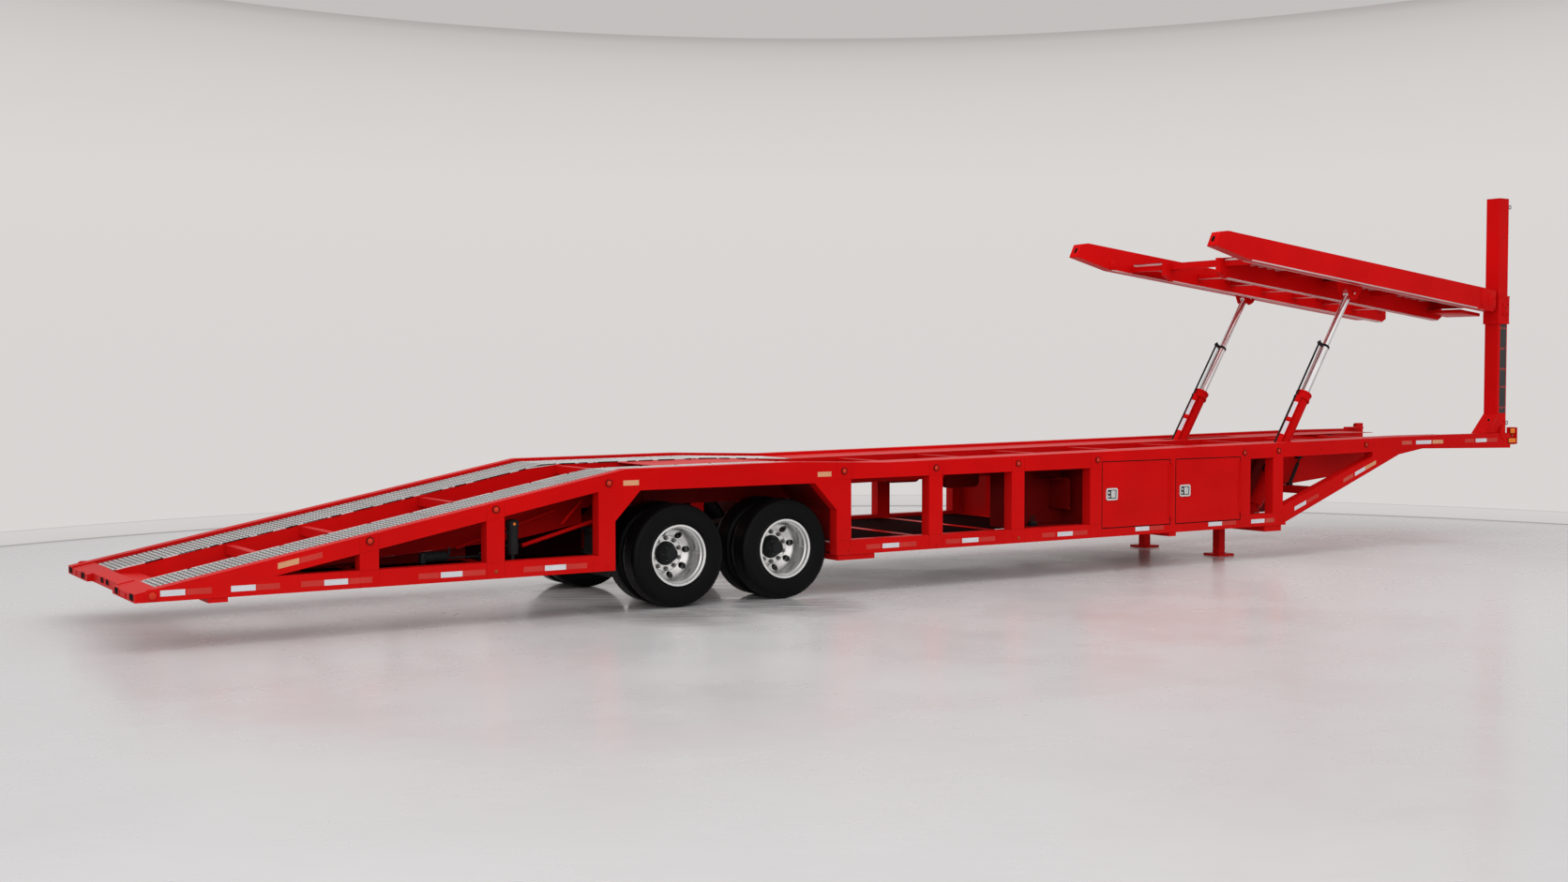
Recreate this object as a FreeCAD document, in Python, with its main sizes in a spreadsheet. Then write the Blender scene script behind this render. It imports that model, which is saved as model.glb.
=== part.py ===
"""Car transporter semi-trailer: side frames, runways, tilting upper deck, lift cylinders, tandem wheels.

Lengths are in millimetres. X points forward, Y to the left and Z up. Every station along the trailer is
measured from the rear axle, and at the end all nodes move by one shift that puts the origin at the middle
of the trailer's length, on the ground.
"""
import FreeCAD
import Part
import Sketcher
import math
import os
from FreeCAD import Placement, Rotation, Vector

# --------------------------------------------------------------------------------------------------
# Driving sizes: alias -> (value, what it is)
# --------------------------------------------------------------------------------------------------
SIZES = {
    # overall stations and heights of the outer rails
    "tail_x": (-5050, "rear face of the ramp"),
    "nose_x": (13000, "front end of the neck"),
    "half_width": (1295, "centreline to the outer face of a side frame"),
    "frame_depth": (127, "thickness of a side frame across the trailer"),
    "rail_low": (405, "underside of the bottom rail"),
    "rail_tall": (150, "height of the bottom rail"),
    "tail_top": (478, "top of the ramp's rear edge"),
    "kink_ahead": (118, "arch's rear wall to the station where the ramp meets the arch"),
    "crest_x": (1330, "front end of the level arch"),
    "crest_rise": (15, "rise of the rail top from there to the crest"),
    "dip_x": (2460, "lowest station of the main deck"),
    "dip_z": (1335, "rail top there"),
    "rise_x": (10650, "front end of the rising deck"),
    "rise_z": (1440, "rail top there"),
    "neck_x": (11600, "rear end of the level neck"),
    "neck_z": (1450, "rail top of the neck"),
    "ramp_depth": (146, "height of the ramp's top rail"),
    # wheel arch
    "arch_gap_up": (146, "tyres to the underside of the rail over them"),
    "arch_gap_back": (216, "rear tyre to the arch's rear wall"),
    "arch_gap_front": (86, "front tyre to the arch's front wall"),
    "arch_rail": (205, "height of the rail at the arch's rear corner"),
    "arch_post_in": (7, "ramp rail's inner corner to the rear face of the arch post"),
    "chamfer_long": (268, "length of the slanted corner of the arch"),
    "chamfer_tall": (282, "height of the slanted corner of the arch"),
    # main deck rail underside and neck
    "head_back_z": (1178, "rail underside at the front arch post"),
    "head_front_z": (1194, "rail underside at the toolbox post"),
    "door_head_z": (1258, "top of the toolbox door openings"),
    "door_sill_z": (505, "bottom of the toolbox door openings"),
    "bay_head_z": (1226, "rail underside in front of the toolboxes"),
    "neck_root_x": (10130, "front end of the brace window"),
    "neck_root_z": (1259, "rail underside there"),
    "neck_low_x": (11120, "station where the brace ends"),
    "neck_low_z": (1280, "rail underside there"),
    "nose_low_z": (1247, "rail underside at the nose"),
    "brace_foot_x": (8510, "front end of the brace's foot"),
    "brace_foot_z": (440, "height of the foot's front corner"),
    "brace_bend_x": (10650, "bend in the brace's underside"),
    "brace_bend_z": (1215, "its height"),
    "brace_top_z": (635, "top of the brace at the last post"),
    "brace_tip_z": (1198, "top of the brace at the window's front end"),
    # posts of the side frame: rear face and width
    "post_tail": (-3186, "rear face"),
    "post_mid": (-2013, "rear face"),
    "post_one": (2993, "rear face"),
    "post_two": (4127, "rear face"),
    "post_box": (5277, "rear face of the post behind the toolboxes"),
    "post_split": (6530, "rear face of the post between the doors"),
    "post_bay": (7706, "rear face of the post in front of the doors"),
    "post_last": (8278, "rear face of the last post"),
    "post_wide": (180, "length of a post along the trailer"),
    "split_wide": (90, "length of the post between the doors"),
    # runways
    "lip": (30, "height of the outer rail above the runway"),
    "plate": (6, "thickness of a runway plate"),
    "rail_inner_y": (500, "centreline to the inner edge of a runway"),
    "rail_inner_wide": (76, "width of an inner rail"),
    "inner_ramp_depth": (180, "height of an inner rail on the ramp"),
    "inner_deck_depth": (220, "height of an inner rail on the main deck"),
    "tread_back": (-4850, "rear end of the tread plates"),
    "tread_front": (2440, "front end of the tread plates"),
    "deck_inset": (600, "nose to the front end of the runway plates"),
    "slot_start": (195, "lower cylinder pin to the rear end of its slot in the runway"),
    "slot_end": (1535, "lower cylinder pin to the front end of its slot"),
    "slot_room": (15, "room each side of a cylinder's collar in its slot"),
    "neck_beam_x": (8480, "station where the inner rails deepen into neck beams"),
    "neck_beam_z": (760, "underside of a neck beam there"),
    "neck_beam_mid_x": (10340, "bend in the neck beam's underside"),
    "neck_beam_mid_z": (920, "its height"),
    "neck_beam_drop": (60, "how far the neck beams lie under the deck plates"),
    # cross members
    "member_wide": (76, "width of a deck cross member"),
    "member_tall": (84, "height of a deck cross member"),
    "belly_wide": (100, "width of a belly cross member"),
    "belly_low": (425, "underside of a belly cross member"),
    "belly_tall": (95, "height of a belly cross member"),
    "skid_inset": (10, "how far an outrigger ends inside the side frame's outer face"),
    # toolboxes and their doors
    "sheet": (5, "sheet thickness of boxes and bays"),
    "box_deep": (470, "depth of a toolbox behind the side frame"),
    "box_low": (440, "underside of a toolbox"),
    "box_high": (1238, "top of a toolbox"),
    "door_gap": (5, "gap round a door"),
    "door_thick": (26, "thickness of a door"),
    "barrel_r": (8, "radius of a door hinge barrel"),
    "hinge_in": (4, "door opening's front edge to the door's hinge line"),
    "hinge_inset": (35, "rail to the lower end of a hinge barrel, and opening's head to the upper"),
    "leaf": (6, "thickness of a hinge leaf"),
    "leaf_wide": (36, "width of a hinge leaf"),
    "lug_tall": (24, "height of a fixed hinge lug"),
    "pin_reach": (18, "how far a hinge pin reaches into the door's barrel"),
    "bay_deep": (400, "depth of the valve bay"),
    "bay_head": (6, "rail's underside to the top of the valve bay"),
    # wheels and axles
    "axle_gap": (1220, "distance between the axles"),
    "tyre_r": (502, "outer radius of a tyre"),
    "tyre_wide": (274, "width of a tyre"),
    "bead_r": (286, "inner radius of a tyre"),
    "wheel_in": (168, "outer face of the side frame to the middle of an outer tyre"),
    "twin_gap": (336, "distance between twin tyres"),
    "rim_wide": (232, "width of a rim"),
    "rim_r": (299, "radius of the rim flange"),
    "rim_wall": (9, "wall of a rim"),
    "drum_r": (210, "radius of a brake drum"),
    "drum_front": (60, "hub face to the front of the brake drum"),
    "drum_back": (230, "hub face to the back of the brake drum"),
    "flap_low": (330, "lower edge of a mudflap"),
    "flap_high": (780, "upper edge of a mudflap and its bar"),
    "flap_wide": (528, "reach of a mudflap's bar behind the side frame"),
    "flap_bar": (40, "side of a mudflap's square bar"),
    "flap_thick": (8, "thickness of a mudflap"),
    "flap_inset": (4, "gap between a mudflap and the side frame"),
    "disc_thick": (12, "thickness of a wheel disc"),
    "hub_r": (142, "radius of a hub face"),
    "cap_r": (92, "radius of a hub cap"),
    "spindle_r": (45, "radius of an axle spindle"),
    "axle_r": (64, "radius of an axle tube"),
    "running_gap": (0.3, "radial clearance of turning and sliding parts"),
    "seat_gap": (0.4, "gap between a wheel's separate pieces"),
    # suspension
    "hanger_wide": (110, "length of a spring hanger"),
    "spring_y": (538, "centreline to the middle of a leaf spring"),
    "spring_wide": (76, "width of a leaf spring"),
    "spring_tall": (58, "thickness of a leaf spring"),
    "spring_sag": (70, "drop of a leaf spring at its axle"),
    # kingpin and coupler plate
    "coupler_z": (1250, "top of the coupler plate"),
    "coupler_back": (11450, "rear edge of the coupler plate"),
    "coupler_inset": (50, "nose to the front edge of the coupler plate"),
    "coupler_half": (600, "half width of the coupler plate"),
    "coupler_thick": (12, "thickness of the coupler plate"),
    "kingpin_inset": (850, "nose to the kingpin"),
    "kingpin_r": (25.4, "radius of the kingpin's neck"),
    "kingpin_head_r": (35.7, "radius of the kingpin's collars"),
    "kingpin_flange_r": (80, "radius of the kingpin's flange on top of the coupler plate"),
    "kingpin_long": (84, "length of the kingpin"),
    "kingpin_neck": (36, "length of the kingpin's neck"),
    # landing legs
    "leg_x": (8050, "station of the landing legs"),
    "leg_wide": (130, "side of the outer leg tube"),
    "leg_inner_wide": (104, "side of the inner leg tube"),
    "leg_split": (520, "lower end of the outer leg tube"),
    "shoe_wide": (260, "side of a leg's shoe"),
    "shoe_tall": (26, "height of a shoe"),
    # front post and its sleeve
    "post_back": (280, "nose to the rear face of the front post"),
    "post_in": (23, "outer face of the side frame to the outer face of the front post"),
    "post_side": (200, "side of the post's square tube"),
    "post_top": (4620, "top of the post"),
    "gusset": (264, "length and height of the post's gusset"),
    "sleeve_drop": (305, "hinge pin to the lower end of the sleeve"),
    "sleeve_tall": (380, "height of the sleeve"),
    "sleeve_wall": (12, "wall of the sleeve"),
    "sleeve_play": (6, "play between sleeve wall and post"),
    "pad_tall": (45, "height of the sleeve's wear pads"),
    "pad_gap": (0.4, "gap between wear pads and post"),
    "bracket_reach": (110, "how far the lamp bracket stands out in front of the nose"),
    "bracket_thick": (60, "width of the lamp bracket"),
    "bracket_low": (1293, "lower edge of the lamp bracket"),
    "bracket_high": (1526, "upper edge of the lamp bracket"),
    # upper deck
    "upper_x": (7671, "station where the upper beam's top line starts"),
    "upper_z": (3931, "its height"),
    "upper_fall": (0.110, "fall of the upper deck per unit of length"),
    "upper_depth": (293, "height of an upper beam"),
    "upper_wide": (150, "width of an upper beam"),
    "upper_back_x": (7364, "top of the beam's rear face"),
    "upper_back_z": (3934, "its height"),
    "upper_heel_x": (7282, "bottom of the beam's rear face"),
    "upper_heel_z": (3768, "its height"),
    "upper_heel_end": (7900, "front end of the beam's rear chamfer"),
    "upper_clear": (50, "front face of an upper beam to the front post"),
    "upper_toe": (60, "chamfer at the beam's lower front corner"),
    "hinge_back": (130, "deck's hinge pin to the front post"),
    "hinge_up": (138, "height of the hinge pin above the beam's underside"),
    "hinge_r": (35, "radius of the deck's hinge pin"),
    "ear_r": (72, "radius of the sleeve's hinge ear"),
    "ear_thick": (20, "thickness of an ear"),
    "ear_gap": (6, "gap between an ear and the beam"),
    "inner_back": (8180, "rear end of the upper inner beams"),
    "inner_short": (110, "how far an upper inner beam ends behind the outer one"),
    "inner_drop": (120, "how far an inner beam reaches below and above the outer beam's underside"),
    "upper_floor_back": (8230, "rear end of the upper runway plates"),
    "upper_floor_short": (190, "how far an upper runway plate ends behind the outer beam"),
    "upper_floor_gap": (60, "gap between an upper runway plate and the outer beam"),
    "window_back": (430, "rearward length of the cylinder slot from the rod pin"),
    "window_front": (430, "forward length of the cylinder slot from the rod pin"),
    # lift cylinders
    "lift_x": (8365, "station of the cylinder's lower pin"),
    "lift_z": (520, "height of the lower pin"),
    "lift_in": (425, "outer face of the side frame to a cylinder"),
    "lift_lean": (32.8, "forward lean of a cylinder, in degrees from the vertical"),
    "barrel_long": (1765, "lower pin to the top of the barrel's collar"),
    "cylinder_r": (86, "radius of a barrel"),
    "collar_r": (95, "radius of a barrel's collar"),
    "collar_tall": (90, "height of a barrel's collar"),
    "stage_r": (58, "radius of the first stage"),
    "stage_out": (719, "length of the first stage outside the barrel"),
    "stage_in": (900, "length of the first stage inside the barrel"),
    "rod_r": (43, "radius of the rod"),
    "rod_out": (811, "first stage's top to the rod's pin"),
    "rod_in": (850, "length of the rod inside the first stage"),
    "eye_r": (62, "radius of a cylinder eye"),
    "eye_wide": (100, "width of a cylinder eye"),
    "lift_slot": (120, "width of the slot that a cylinder passes through"),
    "pin_r": (30, "radius of a cylinder pin"),
    "strut_x": (9280, "station of the member that carries the neck struts"),
}

doc = FreeCAD.newDocument("car_transporter_semi_trailer")
sheet = doc.addObject("Spreadsheet::Sheet", "sizes")
for row, (alias, (number, note)) in enumerate(SIZES.items(), start=1):
    sheet.set(f"A{row}", alias)
    sheet.set(f"B{row}", str(number))
    sheet.set(f"C{row}", note)
    sheet.setAlias(f"B{row}", alias)
doc.recompute()


class Size:
    """A number that remembers the sheet formula which gives it."""

    def __init__(self, number, formula):
        self.number = number
        self.formula = formula

    def _join(self, other, sign, number):
        return Size(number, f"({self.formula} {sign} {formula_of(other)})")

    def __add__(self, other):
        return self._join(other, "+", self.number + number_of(other))

    def __sub__(self, other):
        return self._join(other, "-", self.number - number_of(other))

    def __mul__(self, other):
        return self._join(other, "*", self.number * number_of(other))

    def __truediv__(self, other):
        return self._join(other, "/", self.number / number_of(other))

    def __radd__(self, other):
        return Size(number_of(other), formula_of(other)) + self

    def __rsub__(self, other):
        return Size(number_of(other), formula_of(other)) - self

    def __neg__(self):
        return Size(-self.number, f"(0 - {self.formula})")


def number_of(value):
    """Give the plain number of a Size or a number."""
    return value.number if isinstance(value, Size) else value


def formula_of(value):
    """Give the formula of a Size, or a number as text."""
    return value.formula if isinstance(value, Size) else f"{value}"


def sine(angle):
    """Sine of a Size in degrees."""
    return Size(math.sin(math.radians(angle.number)), f"sin({angle.formula} * 1 deg)")


def cosine(angle):
    """Cosine of a Size in degrees."""
    return Size(math.cos(math.radians(angle.number)), f"cos({angle.formula} * 1 deg)")


class Sheet:
    """Attribute access to the sheet: s.tail_x is the Size of that cell."""

    def __getattr__(self, alias):
        return Size(float(SIZES[alias][0]), f"sizes.{alias}")


s = Sheet()
FRAME_INNER = s.half_width - s.frame_depth
SHIFT = -(s.tail_x + s.nose_x + s.bracket_reach) / 2


def between(x, low, high):
    """Height on the straight line through low and high, both (x, z), at station x."""
    return low[1] + (high[1] - low[1]) * (x - low[0]) / (high[0] - low[0])


# --------------------------------------------------------------------------------------------------
# Makers of plain solids, every size bound to the sheet
# --------------------------------------------------------------------------------------------------
def bind(obj, prop, value):
    """Set a property to a number, or tie it to the sheet."""
    if isinstance(value, Size):
        obj.setExpression(prop, value.formula)
    else:
        setattr(obj, prop, value)


def put(obj, base, rotation=None):
    """Place an object, its position tied to the sheet."""
    obj.Placement = Placement(Vector(*[number_of(value) for value in base]), rotation or Rotation())
    for axis, value in zip("xyz", base):
        if isinstance(value, Size):
            obj.setExpression(f"Placement.Base.{axis}", value.formula)
    return obj


def box(xs, ys, zs):
    """Make a box from its low and high sides."""
    obj = doc.addObject("Part::Box", "box")
    bind(obj, "Length", xs[1] - xs[0])
    bind(obj, "Width", ys[1] - ys[0])
    bind(obj, "Height", zs[1] - zs[0])
    return put(obj, (xs[0], ys[0], zs[0]))


ALONG = {"x": Rotation(Vector(0, 1, 0), 90), "y": Rotation(Vector(1, 0, 0), -90), "z": Rotation()}


def bar(axis, base, radius, length):
    """Make a round bar along an axis, from the middle of its first end."""
    obj = doc.addObject("Part::Cylinder", "bar")
    bind(obj, "Radius", radius)
    bind(obj, "Height", length)
    return put(obj, base, ALONG[axis])


def draw(body, role, outlines):
    """Draw closed outlines on one of a body's origin planes, every corner tied to the sheet."""
    sketch = body.newObject("Sketcher::SketchObject", "outline")
    plane = [feature for feature in body.Origin.OriginFeatures if feature.Role == role][0]
    sketch.AttachmentSupport = [(plane, "")]
    sketch.MapMode = "FlatFace"
    first = 0
    for outline in outlines:
        corners = [Vector(number_of(a), number_of(b), 0) for a, b in outline]
        count = len(corners)
        for i in range(count):
            sketch.addGeometry(Part.LineSegment(corners[i], corners[(i + 1) % count]), False)
        for i in range(count):
            sketch.addConstraint(Sketcher.Constraint("Coincident", first + i, 2, first + (i + 1) % count, 1))
        for i, corner in enumerate(outline):
            for kind, value in zip(("DistanceX", "DistanceY"), corner):
                rule = Sketcher.Constraint(kind, -1, 1, first + i, 1, number_of(value))
                index = sketch.addConstraint(rule)
                if isinstance(value, Size):
                    sketch.setExpression(f"Constraints[{index}]", value.formula)
        first += count
    return sketch


def profile(outline, ys, holes=()):
    """Pad a side-view outline of (x, z) corners across the trailer, from ys[0] to ys[1]."""
    body = doc.addObject("PartDesign::Body", "profile")
    sketch = draw(body, "XZ_Plane", [outline, *holes])
    pad = body.newObject("PartDesign::Pad", "pad")
    pad.Profile = sketch
    pad.Reversed = True
    bind(pad, "Length", ys[1] - ys[0])
    return put(body, (0, ys[0], 0))


def section(outline, xs, holes=()):
    """Pad a front-view outline of (y, z) corners along the trailer, from xs[0] to xs[1]."""
    body = doc.addObject("PartDesign::Body", "section")
    sketch = draw(body, "YZ_Plane", [outline, *holes])
    pad = body.newObject("PartDesign::Pad", "pad")
    pad.Profile = sketch
    bind(pad, "Length", xs[1] - xs[0])
    return put(body, (xs[0], 0, 0))


def turned(outline, centre):
    """Turn an outline of (y, radius) corners about an axis along Y through the centre."""
    body = doc.addObject("PartDesign::Body", "turned")
    sketch = draw(body, "YZ_Plane", [outline])
    revolution = body.newObject("PartDesign::Revolution", "revolution")
    revolution.Profile = sketch
    revolution.ReferenceAxis = (sketch, ["H_Axis"])
    revolution.Angle = 360
    return put(body, centre)


def cut(base, *tools):
    """Cut tools from a base, one after the other."""
    for tool in tools:
        result = doc.addObject("Part::Cut", "cut")
        result.Base = base
        result.Tool = tool
        base = result
    return base


def fuse(*parts):
    """Join touching solids into one."""
    result = doc.addObject("Part::MultiFuse", "fuse")
    result.Shapes = list(parts)
    result.Refine = True
    return result


def left(obj):
    """Make the left-hand twin of a right-hand piece."""
    result = doc.addObject("Part::Mirroring", "left_hand")
    result.Source = obj
    result.Base = Vector(0, 0, 0)
    result.Normal = Vector(0, 1, 0)
    return result


nodes = []


def node(label, *parts):
    """Gather a node's solids, name them, and move them to the trailer's own frame."""
    group = doc.addObject("Part::Compound", "node")
    group.Links = list(parts)
    group.Label = label
    group.setExpression("Placement.Base.x", SHIFT.formula)
    nodes.append(group)


def sides(label, *parts):
    """Make a right-hand node and its left-hand twin."""
    node(f"{label}_right", *parts)
    node(f"{label}_left", *[left(part) for part in parts])


def pair(label, *parts):
    """Make one node of right-hand pieces and their left-hand twins."""
    node(label, *parts, *[left(part) for part in parts])


# --------------------------------------------------------------------------------------------------
# Lines that many pieces share
# --------------------------------------------------------------------------------------------------
ARCH_BACK = -(s.tyre_r + s.arch_gap_back)
ARCH_FRONT = s.axle_gap + s.tyre_r + s.arch_gap_front
ARCH_TOP = s.tyre_r * 2 + s.arch_gap_up
TAIL = (s.tail_x, s.tail_top)
KINK = (ARCH_BACK + s.kink_ahead, ARCH_TOP + s.arch_rail)
CREST = (s.crest_x, KINK[1] + s.crest_rise)
DIP = (s.dip_x, s.dip_z)
RISE = (s.rise_x, s.rise_z)
NECK = (s.neck_x, s.neck_z)
TOP_LINE = [TAIL, KINK, CREST, DIP, RISE, NECK, (s.nose_x, s.neck_z)]
RAIL_HIGH = s.rail_low + s.rail_tall


def top_at(x):
    """Height of the outer rail's top edge at a station."""
    for low, high in zip(TOP_LINE, TOP_LINE[1:]):
        if number_of(x) <= number_of(high[0]):
            return between(x, low, high)
    return s.neck_z


def ramp_x(z, below):
    """Station where a line that lies below the ramp's top edge reaches a height."""
    return s.tail_x + (z + below - s.tail_top) * (KINK[0] - s.tail_x) / (KINK[1] - s.tail_top)


def strip(back, front, below, thick, ys):
    """Make a plate that follows the rail's top line, below it by a distance."""
    stops = [back, *[x for x, z in TOP_LINE if number_of(back) < number_of(x) < number_of(front)], front]
    upper = [(x, top_at(x) - below) for x in stops]
    lower = [(x, z - thick) for x, z in reversed(upper)]
    return profile([*lower, *upper], ys)


OUTER = (-s.half_width, -FRAME_INNER)
BAY = s.post_bay + s.post_wide - 6
HEAD_BACK = (ARCH_FRONT + s.post_wide, s.head_back_z)
HEAD_FRONT = (s.post_box + s.post_wide, s.head_front_z)
BAY_BACK = (s.post_bay, s.bay_head_z)
NECK_ROOT = (s.neck_root_x, s.neck_root_z)
DECK_BELOW = s.lip + s.plate
POST_ARCH = ramp_x(ARCH_TOP, s.ramp_depth) + s.arch_post_in
WHEEL_Y = s.half_width - s.wheel_in
LIFT_Y = s.half_width - s.lift_in
BARREL_LOW = RAIL_HIGH + s.hinge_inset
BARREL_HIGH = s.door_head_z - s.hinge_inset - 20
SLOT_BACK = s.lift_x + s.slot_start
SLOT_FRONT = s.lift_x + s.slot_end
DECK_FRONT = s.nose_x - s.deck_inset
POST_X = s.nose_x - s.post_back
POST_Y = s.half_width - s.post_in
HINGE_X = POST_X - s.hinge_back
LIFT_LONG = s.barrel_long + s.stage_out + s.rod_out
LIFT_PIN = (s.lift_x + LIFT_LONG * sine(s.lift_lean), s.lift_z + LIFT_LONG * cosine(s.lift_lean))


def upper_low(x, above=0):
    """Height above the upper outer beams' underside at a station."""
    return s.upper_z - s.upper_fall * (x - s.upper_x) - s.upper_depth + above


HINGE_Z = upper_low(HINGE_X, s.hinge_up)


# --------------------------------------------------------------------------------------------------
# Side frames
# --------------------------------------------------------------------------------------------------
def side_frames():
    """Top rails, bottom rails with their braces, and the posts between them."""
    under_ramp = [(ramp_x(RAIL_HIGH, s.ramp_depth), RAIL_HIGH), (ramp_x(ARCH_TOP, s.ramp_depth), ARCH_TOP)]
    top_rail = profile(
        [
            (ramp_x(RAIL_HIGH, 0), RAIL_HIGH),
            *under_ramp,
            (HEAD_BACK[0], ARCH_TOP),
            HEAD_BACK,
            HEAD_FRONT,
            (HEAD_FRONT[0], s.door_head_z),
            (BAY_BACK[0], s.door_head_z),
            BAY_BACK,
            NECK_ROOT,
            (s.neck_low_x, s.neck_low_z),
            (s.nose_x, s.nose_low_z),
            (s.nose_x, s.neck_z),
            NECK,
            RISE,
            DIP,
            CREST,
            KINK,
        ],
        OUTER,
    )
    lamp_bracket = box(
        (s.nose_x, s.nose_x + s.bracket_reach),
        (-s.half_width, s.bracket_thick - s.half_width),
        (s.bracket_low, s.bracket_high),
    )
    sides("top_rail", fuse(top_rail, lamp_bracket))

    rear = profile(
        [
            (s.tail_x, s.rail_low),
            (ARCH_BACK, s.rail_low),
            (ARCH_BACK, RAIL_HIGH),
            (ramp_x(RAIL_HIGH, 0), RAIL_HIGH),
            TAIL,
        ],
        OUTER,
    )
    last = s.post_last + s.post_wide
    front = profile(
        [
            (ARCH_FRONT, s.rail_low),
            (s.brace_foot_x, s.rail_low),
            (s.brace_foot_x, s.brace_foot_z),
            (s.brace_bend_x, s.brace_bend_z),
            (s.neck_low_x, s.neck_low_z),
            NECK_ROOT,
            (s.neck_root_x, s.brace_tip_z),
            (last, s.brace_top_z),
            (last, RAIL_HIGH),
            (s.post_bay, RAIL_HIGH),
            (s.post_bay, s.door_sill_z),
            (HEAD_FRONT[0], s.door_sill_z),
            (HEAD_FRONT[0], RAIL_HIGH),
            (ARCH_FRONT, RAIL_HIGH),
        ],
        OUTER,
    )
    sides("bottom_rail", rear, front)

    def post(back, front, foot, head):
        """A post between two stations; head gives the rail's underside at a station."""
        return profile([(back, foot), (front, foot), (front, head(front)), (back, head(back))], OUTER)

    def ramp_head(x):
        return top_at(x) - s.ramp_depth

    def deck_head(x):
        return between(x, HEAD_BACK, HEAD_FRONT)

    def bay_head(x):
        return between(x, BAY_BACK, NECK_ROOT)

    def door_head(x):
        return s.door_head_z

    def lugs(x):
        """Fixed hinge lugs below and above a door's barrel, each with its pin, on a post's outer face."""
        hinge_y = -(s.half_width + s.barrel_r + 1)
        pieces = []
        low, high = BARREL_LOW - s.lug_tall - 0.5, BARREL_HIGH + 0.5
        for z, pin_z in ((low, low + s.pin_reach), (high, high - s.pin_reach)):
            pieces.append(
                fuse(
                    bar("z", (x, hinge_y, z), s.barrel_r, s.lug_tall),
                    bar("z", (x, hinge_y, pin_z), s.barrel_r / 2, s.lug_tall),
                    box((x, x + s.leaf_wide), (-s.half_width - s.leaf, -s.half_width), (z, z + s.lug_tall)),
                )
            )
        return pieces

    wide = s.post_wide
    posts = [
        post(s.post_tail, s.post_tail + wide - 9, RAIL_HIGH, ramp_head),
        post(s.post_mid, s.post_mid + wide - 7, RAIL_HIGH, ramp_head),
        post(s.post_one, s.post_one + wide, RAIL_HIGH, deck_head),
        post(s.post_two, s.post_two + wide, RAIL_HIGH, deck_head),
        post(s.post_box, s.post_box + wide, RAIL_HIGH, deck_head),
        post(s.post_last, s.post_last + wide, RAIL_HIGH, bay_head),
        post(s.post_split, s.post_split + s.split_wide, s.door_sill_z, door_head),
        post(s.post_bay, BAY, RAIL_HIGH, bay_head),
        *lugs(s.post_split + s.hinge_in),
        *lugs(s.post_bay + s.hinge_in),
        profile(
            [
                (POST_ARCH, RAIL_HIGH),
                (ARCH_BACK, RAIL_HIGH),
                (ARCH_BACK, ARCH_TOP - s.chamfer_tall),
                (ARCH_BACK + s.chamfer_long, ARCH_TOP),
                (POST_ARCH, ARCH_TOP),
            ],
            OUTER,
        ),
        profile(
            [
                (ARCH_FRONT, RAIL_HIGH),
                (ARCH_FRONT + wide, RAIL_HIGH),
                (ARCH_FRONT + wide, ARCH_TOP),
                (ARCH_FRONT - s.chamfer_long, ARCH_TOP),
                (ARCH_FRONT, ARCH_TOP - s.chamfer_tall),
            ],
            OUTER,
        ),
    ]
    sides("side_posts", *posts)


# --------------------------------------------------------------------------------------------------
# Runways, inner rails and cross members
# --------------------------------------------------------------------------------------------------
INNER = (-(s.rail_inner_y + s.rail_inner_wide), -s.rail_inner_y)
RUNWAY = (-FRAME_INNER, -s.rail_inner_y)


RAMP_BELOW = DECK_BELOW + s.inner_ramp_depth
RAIL_BELOW = DECK_BELOW + s.inner_deck_depth
INNER_LOW = [
    (ramp_x(s.rail_low, RAMP_BELOW), s.rail_low),
    (KINK[0], KINK[1] - RAMP_BELOW),
    (s.crest_x, CREST[1] - RAIL_BELOW),
    (s.dip_x, s.dip_z - RAIL_BELOW),
    (s.neck_beam_x, top_at(s.neck_beam_x) - RAIL_BELOW),
]
NECK_LOW = [(s.neck_beam_x, s.neck_beam_z), (s.neck_beam_mid_x, s.neck_beam_mid_z)]


def inner_low(x):
    """Height of the inner rails' underside at a station."""
    lines = INNER_LOW if number_of(x) < number_of(s.neck_beam_x) else NECK_LOW
    for low, high in zip(lines, lines[1:]):
        if number_of(x) <= number_of(high[0]):
            return between(x, low, high)
    raise ValueError("no inner rail at this station")


def inner_rails():
    """The rails under the runways' inner edges, deepened into the neck beams at the front."""
    neck_top = s.neck_z - DECK_BELOW - s.neck_beam_drop
    rail = profile(
        [
            (s.tread_back, s.rail_low),
            *INNER_LOW,
            *NECK_LOW,
            (s.coupler_back, s.coupler_z),
            (s.nose_x, s.coupler_z),
            (s.nose_x, neck_top),
            (s.neck_x, neck_top),
            (s.rise_x, s.rise_z - DECK_BELOW),
            (s.dip_x, s.dip_z - DECK_BELOW),
            (s.crest_x, CREST[1] - DECK_BELOW),
            (KINK[0], KINK[1] - DECK_BELOW),
            (s.tread_back, top_at(s.tread_back) - DECK_BELOW),
        ],
        INNER,
    )
    sides("inner_rail", rail)


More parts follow.
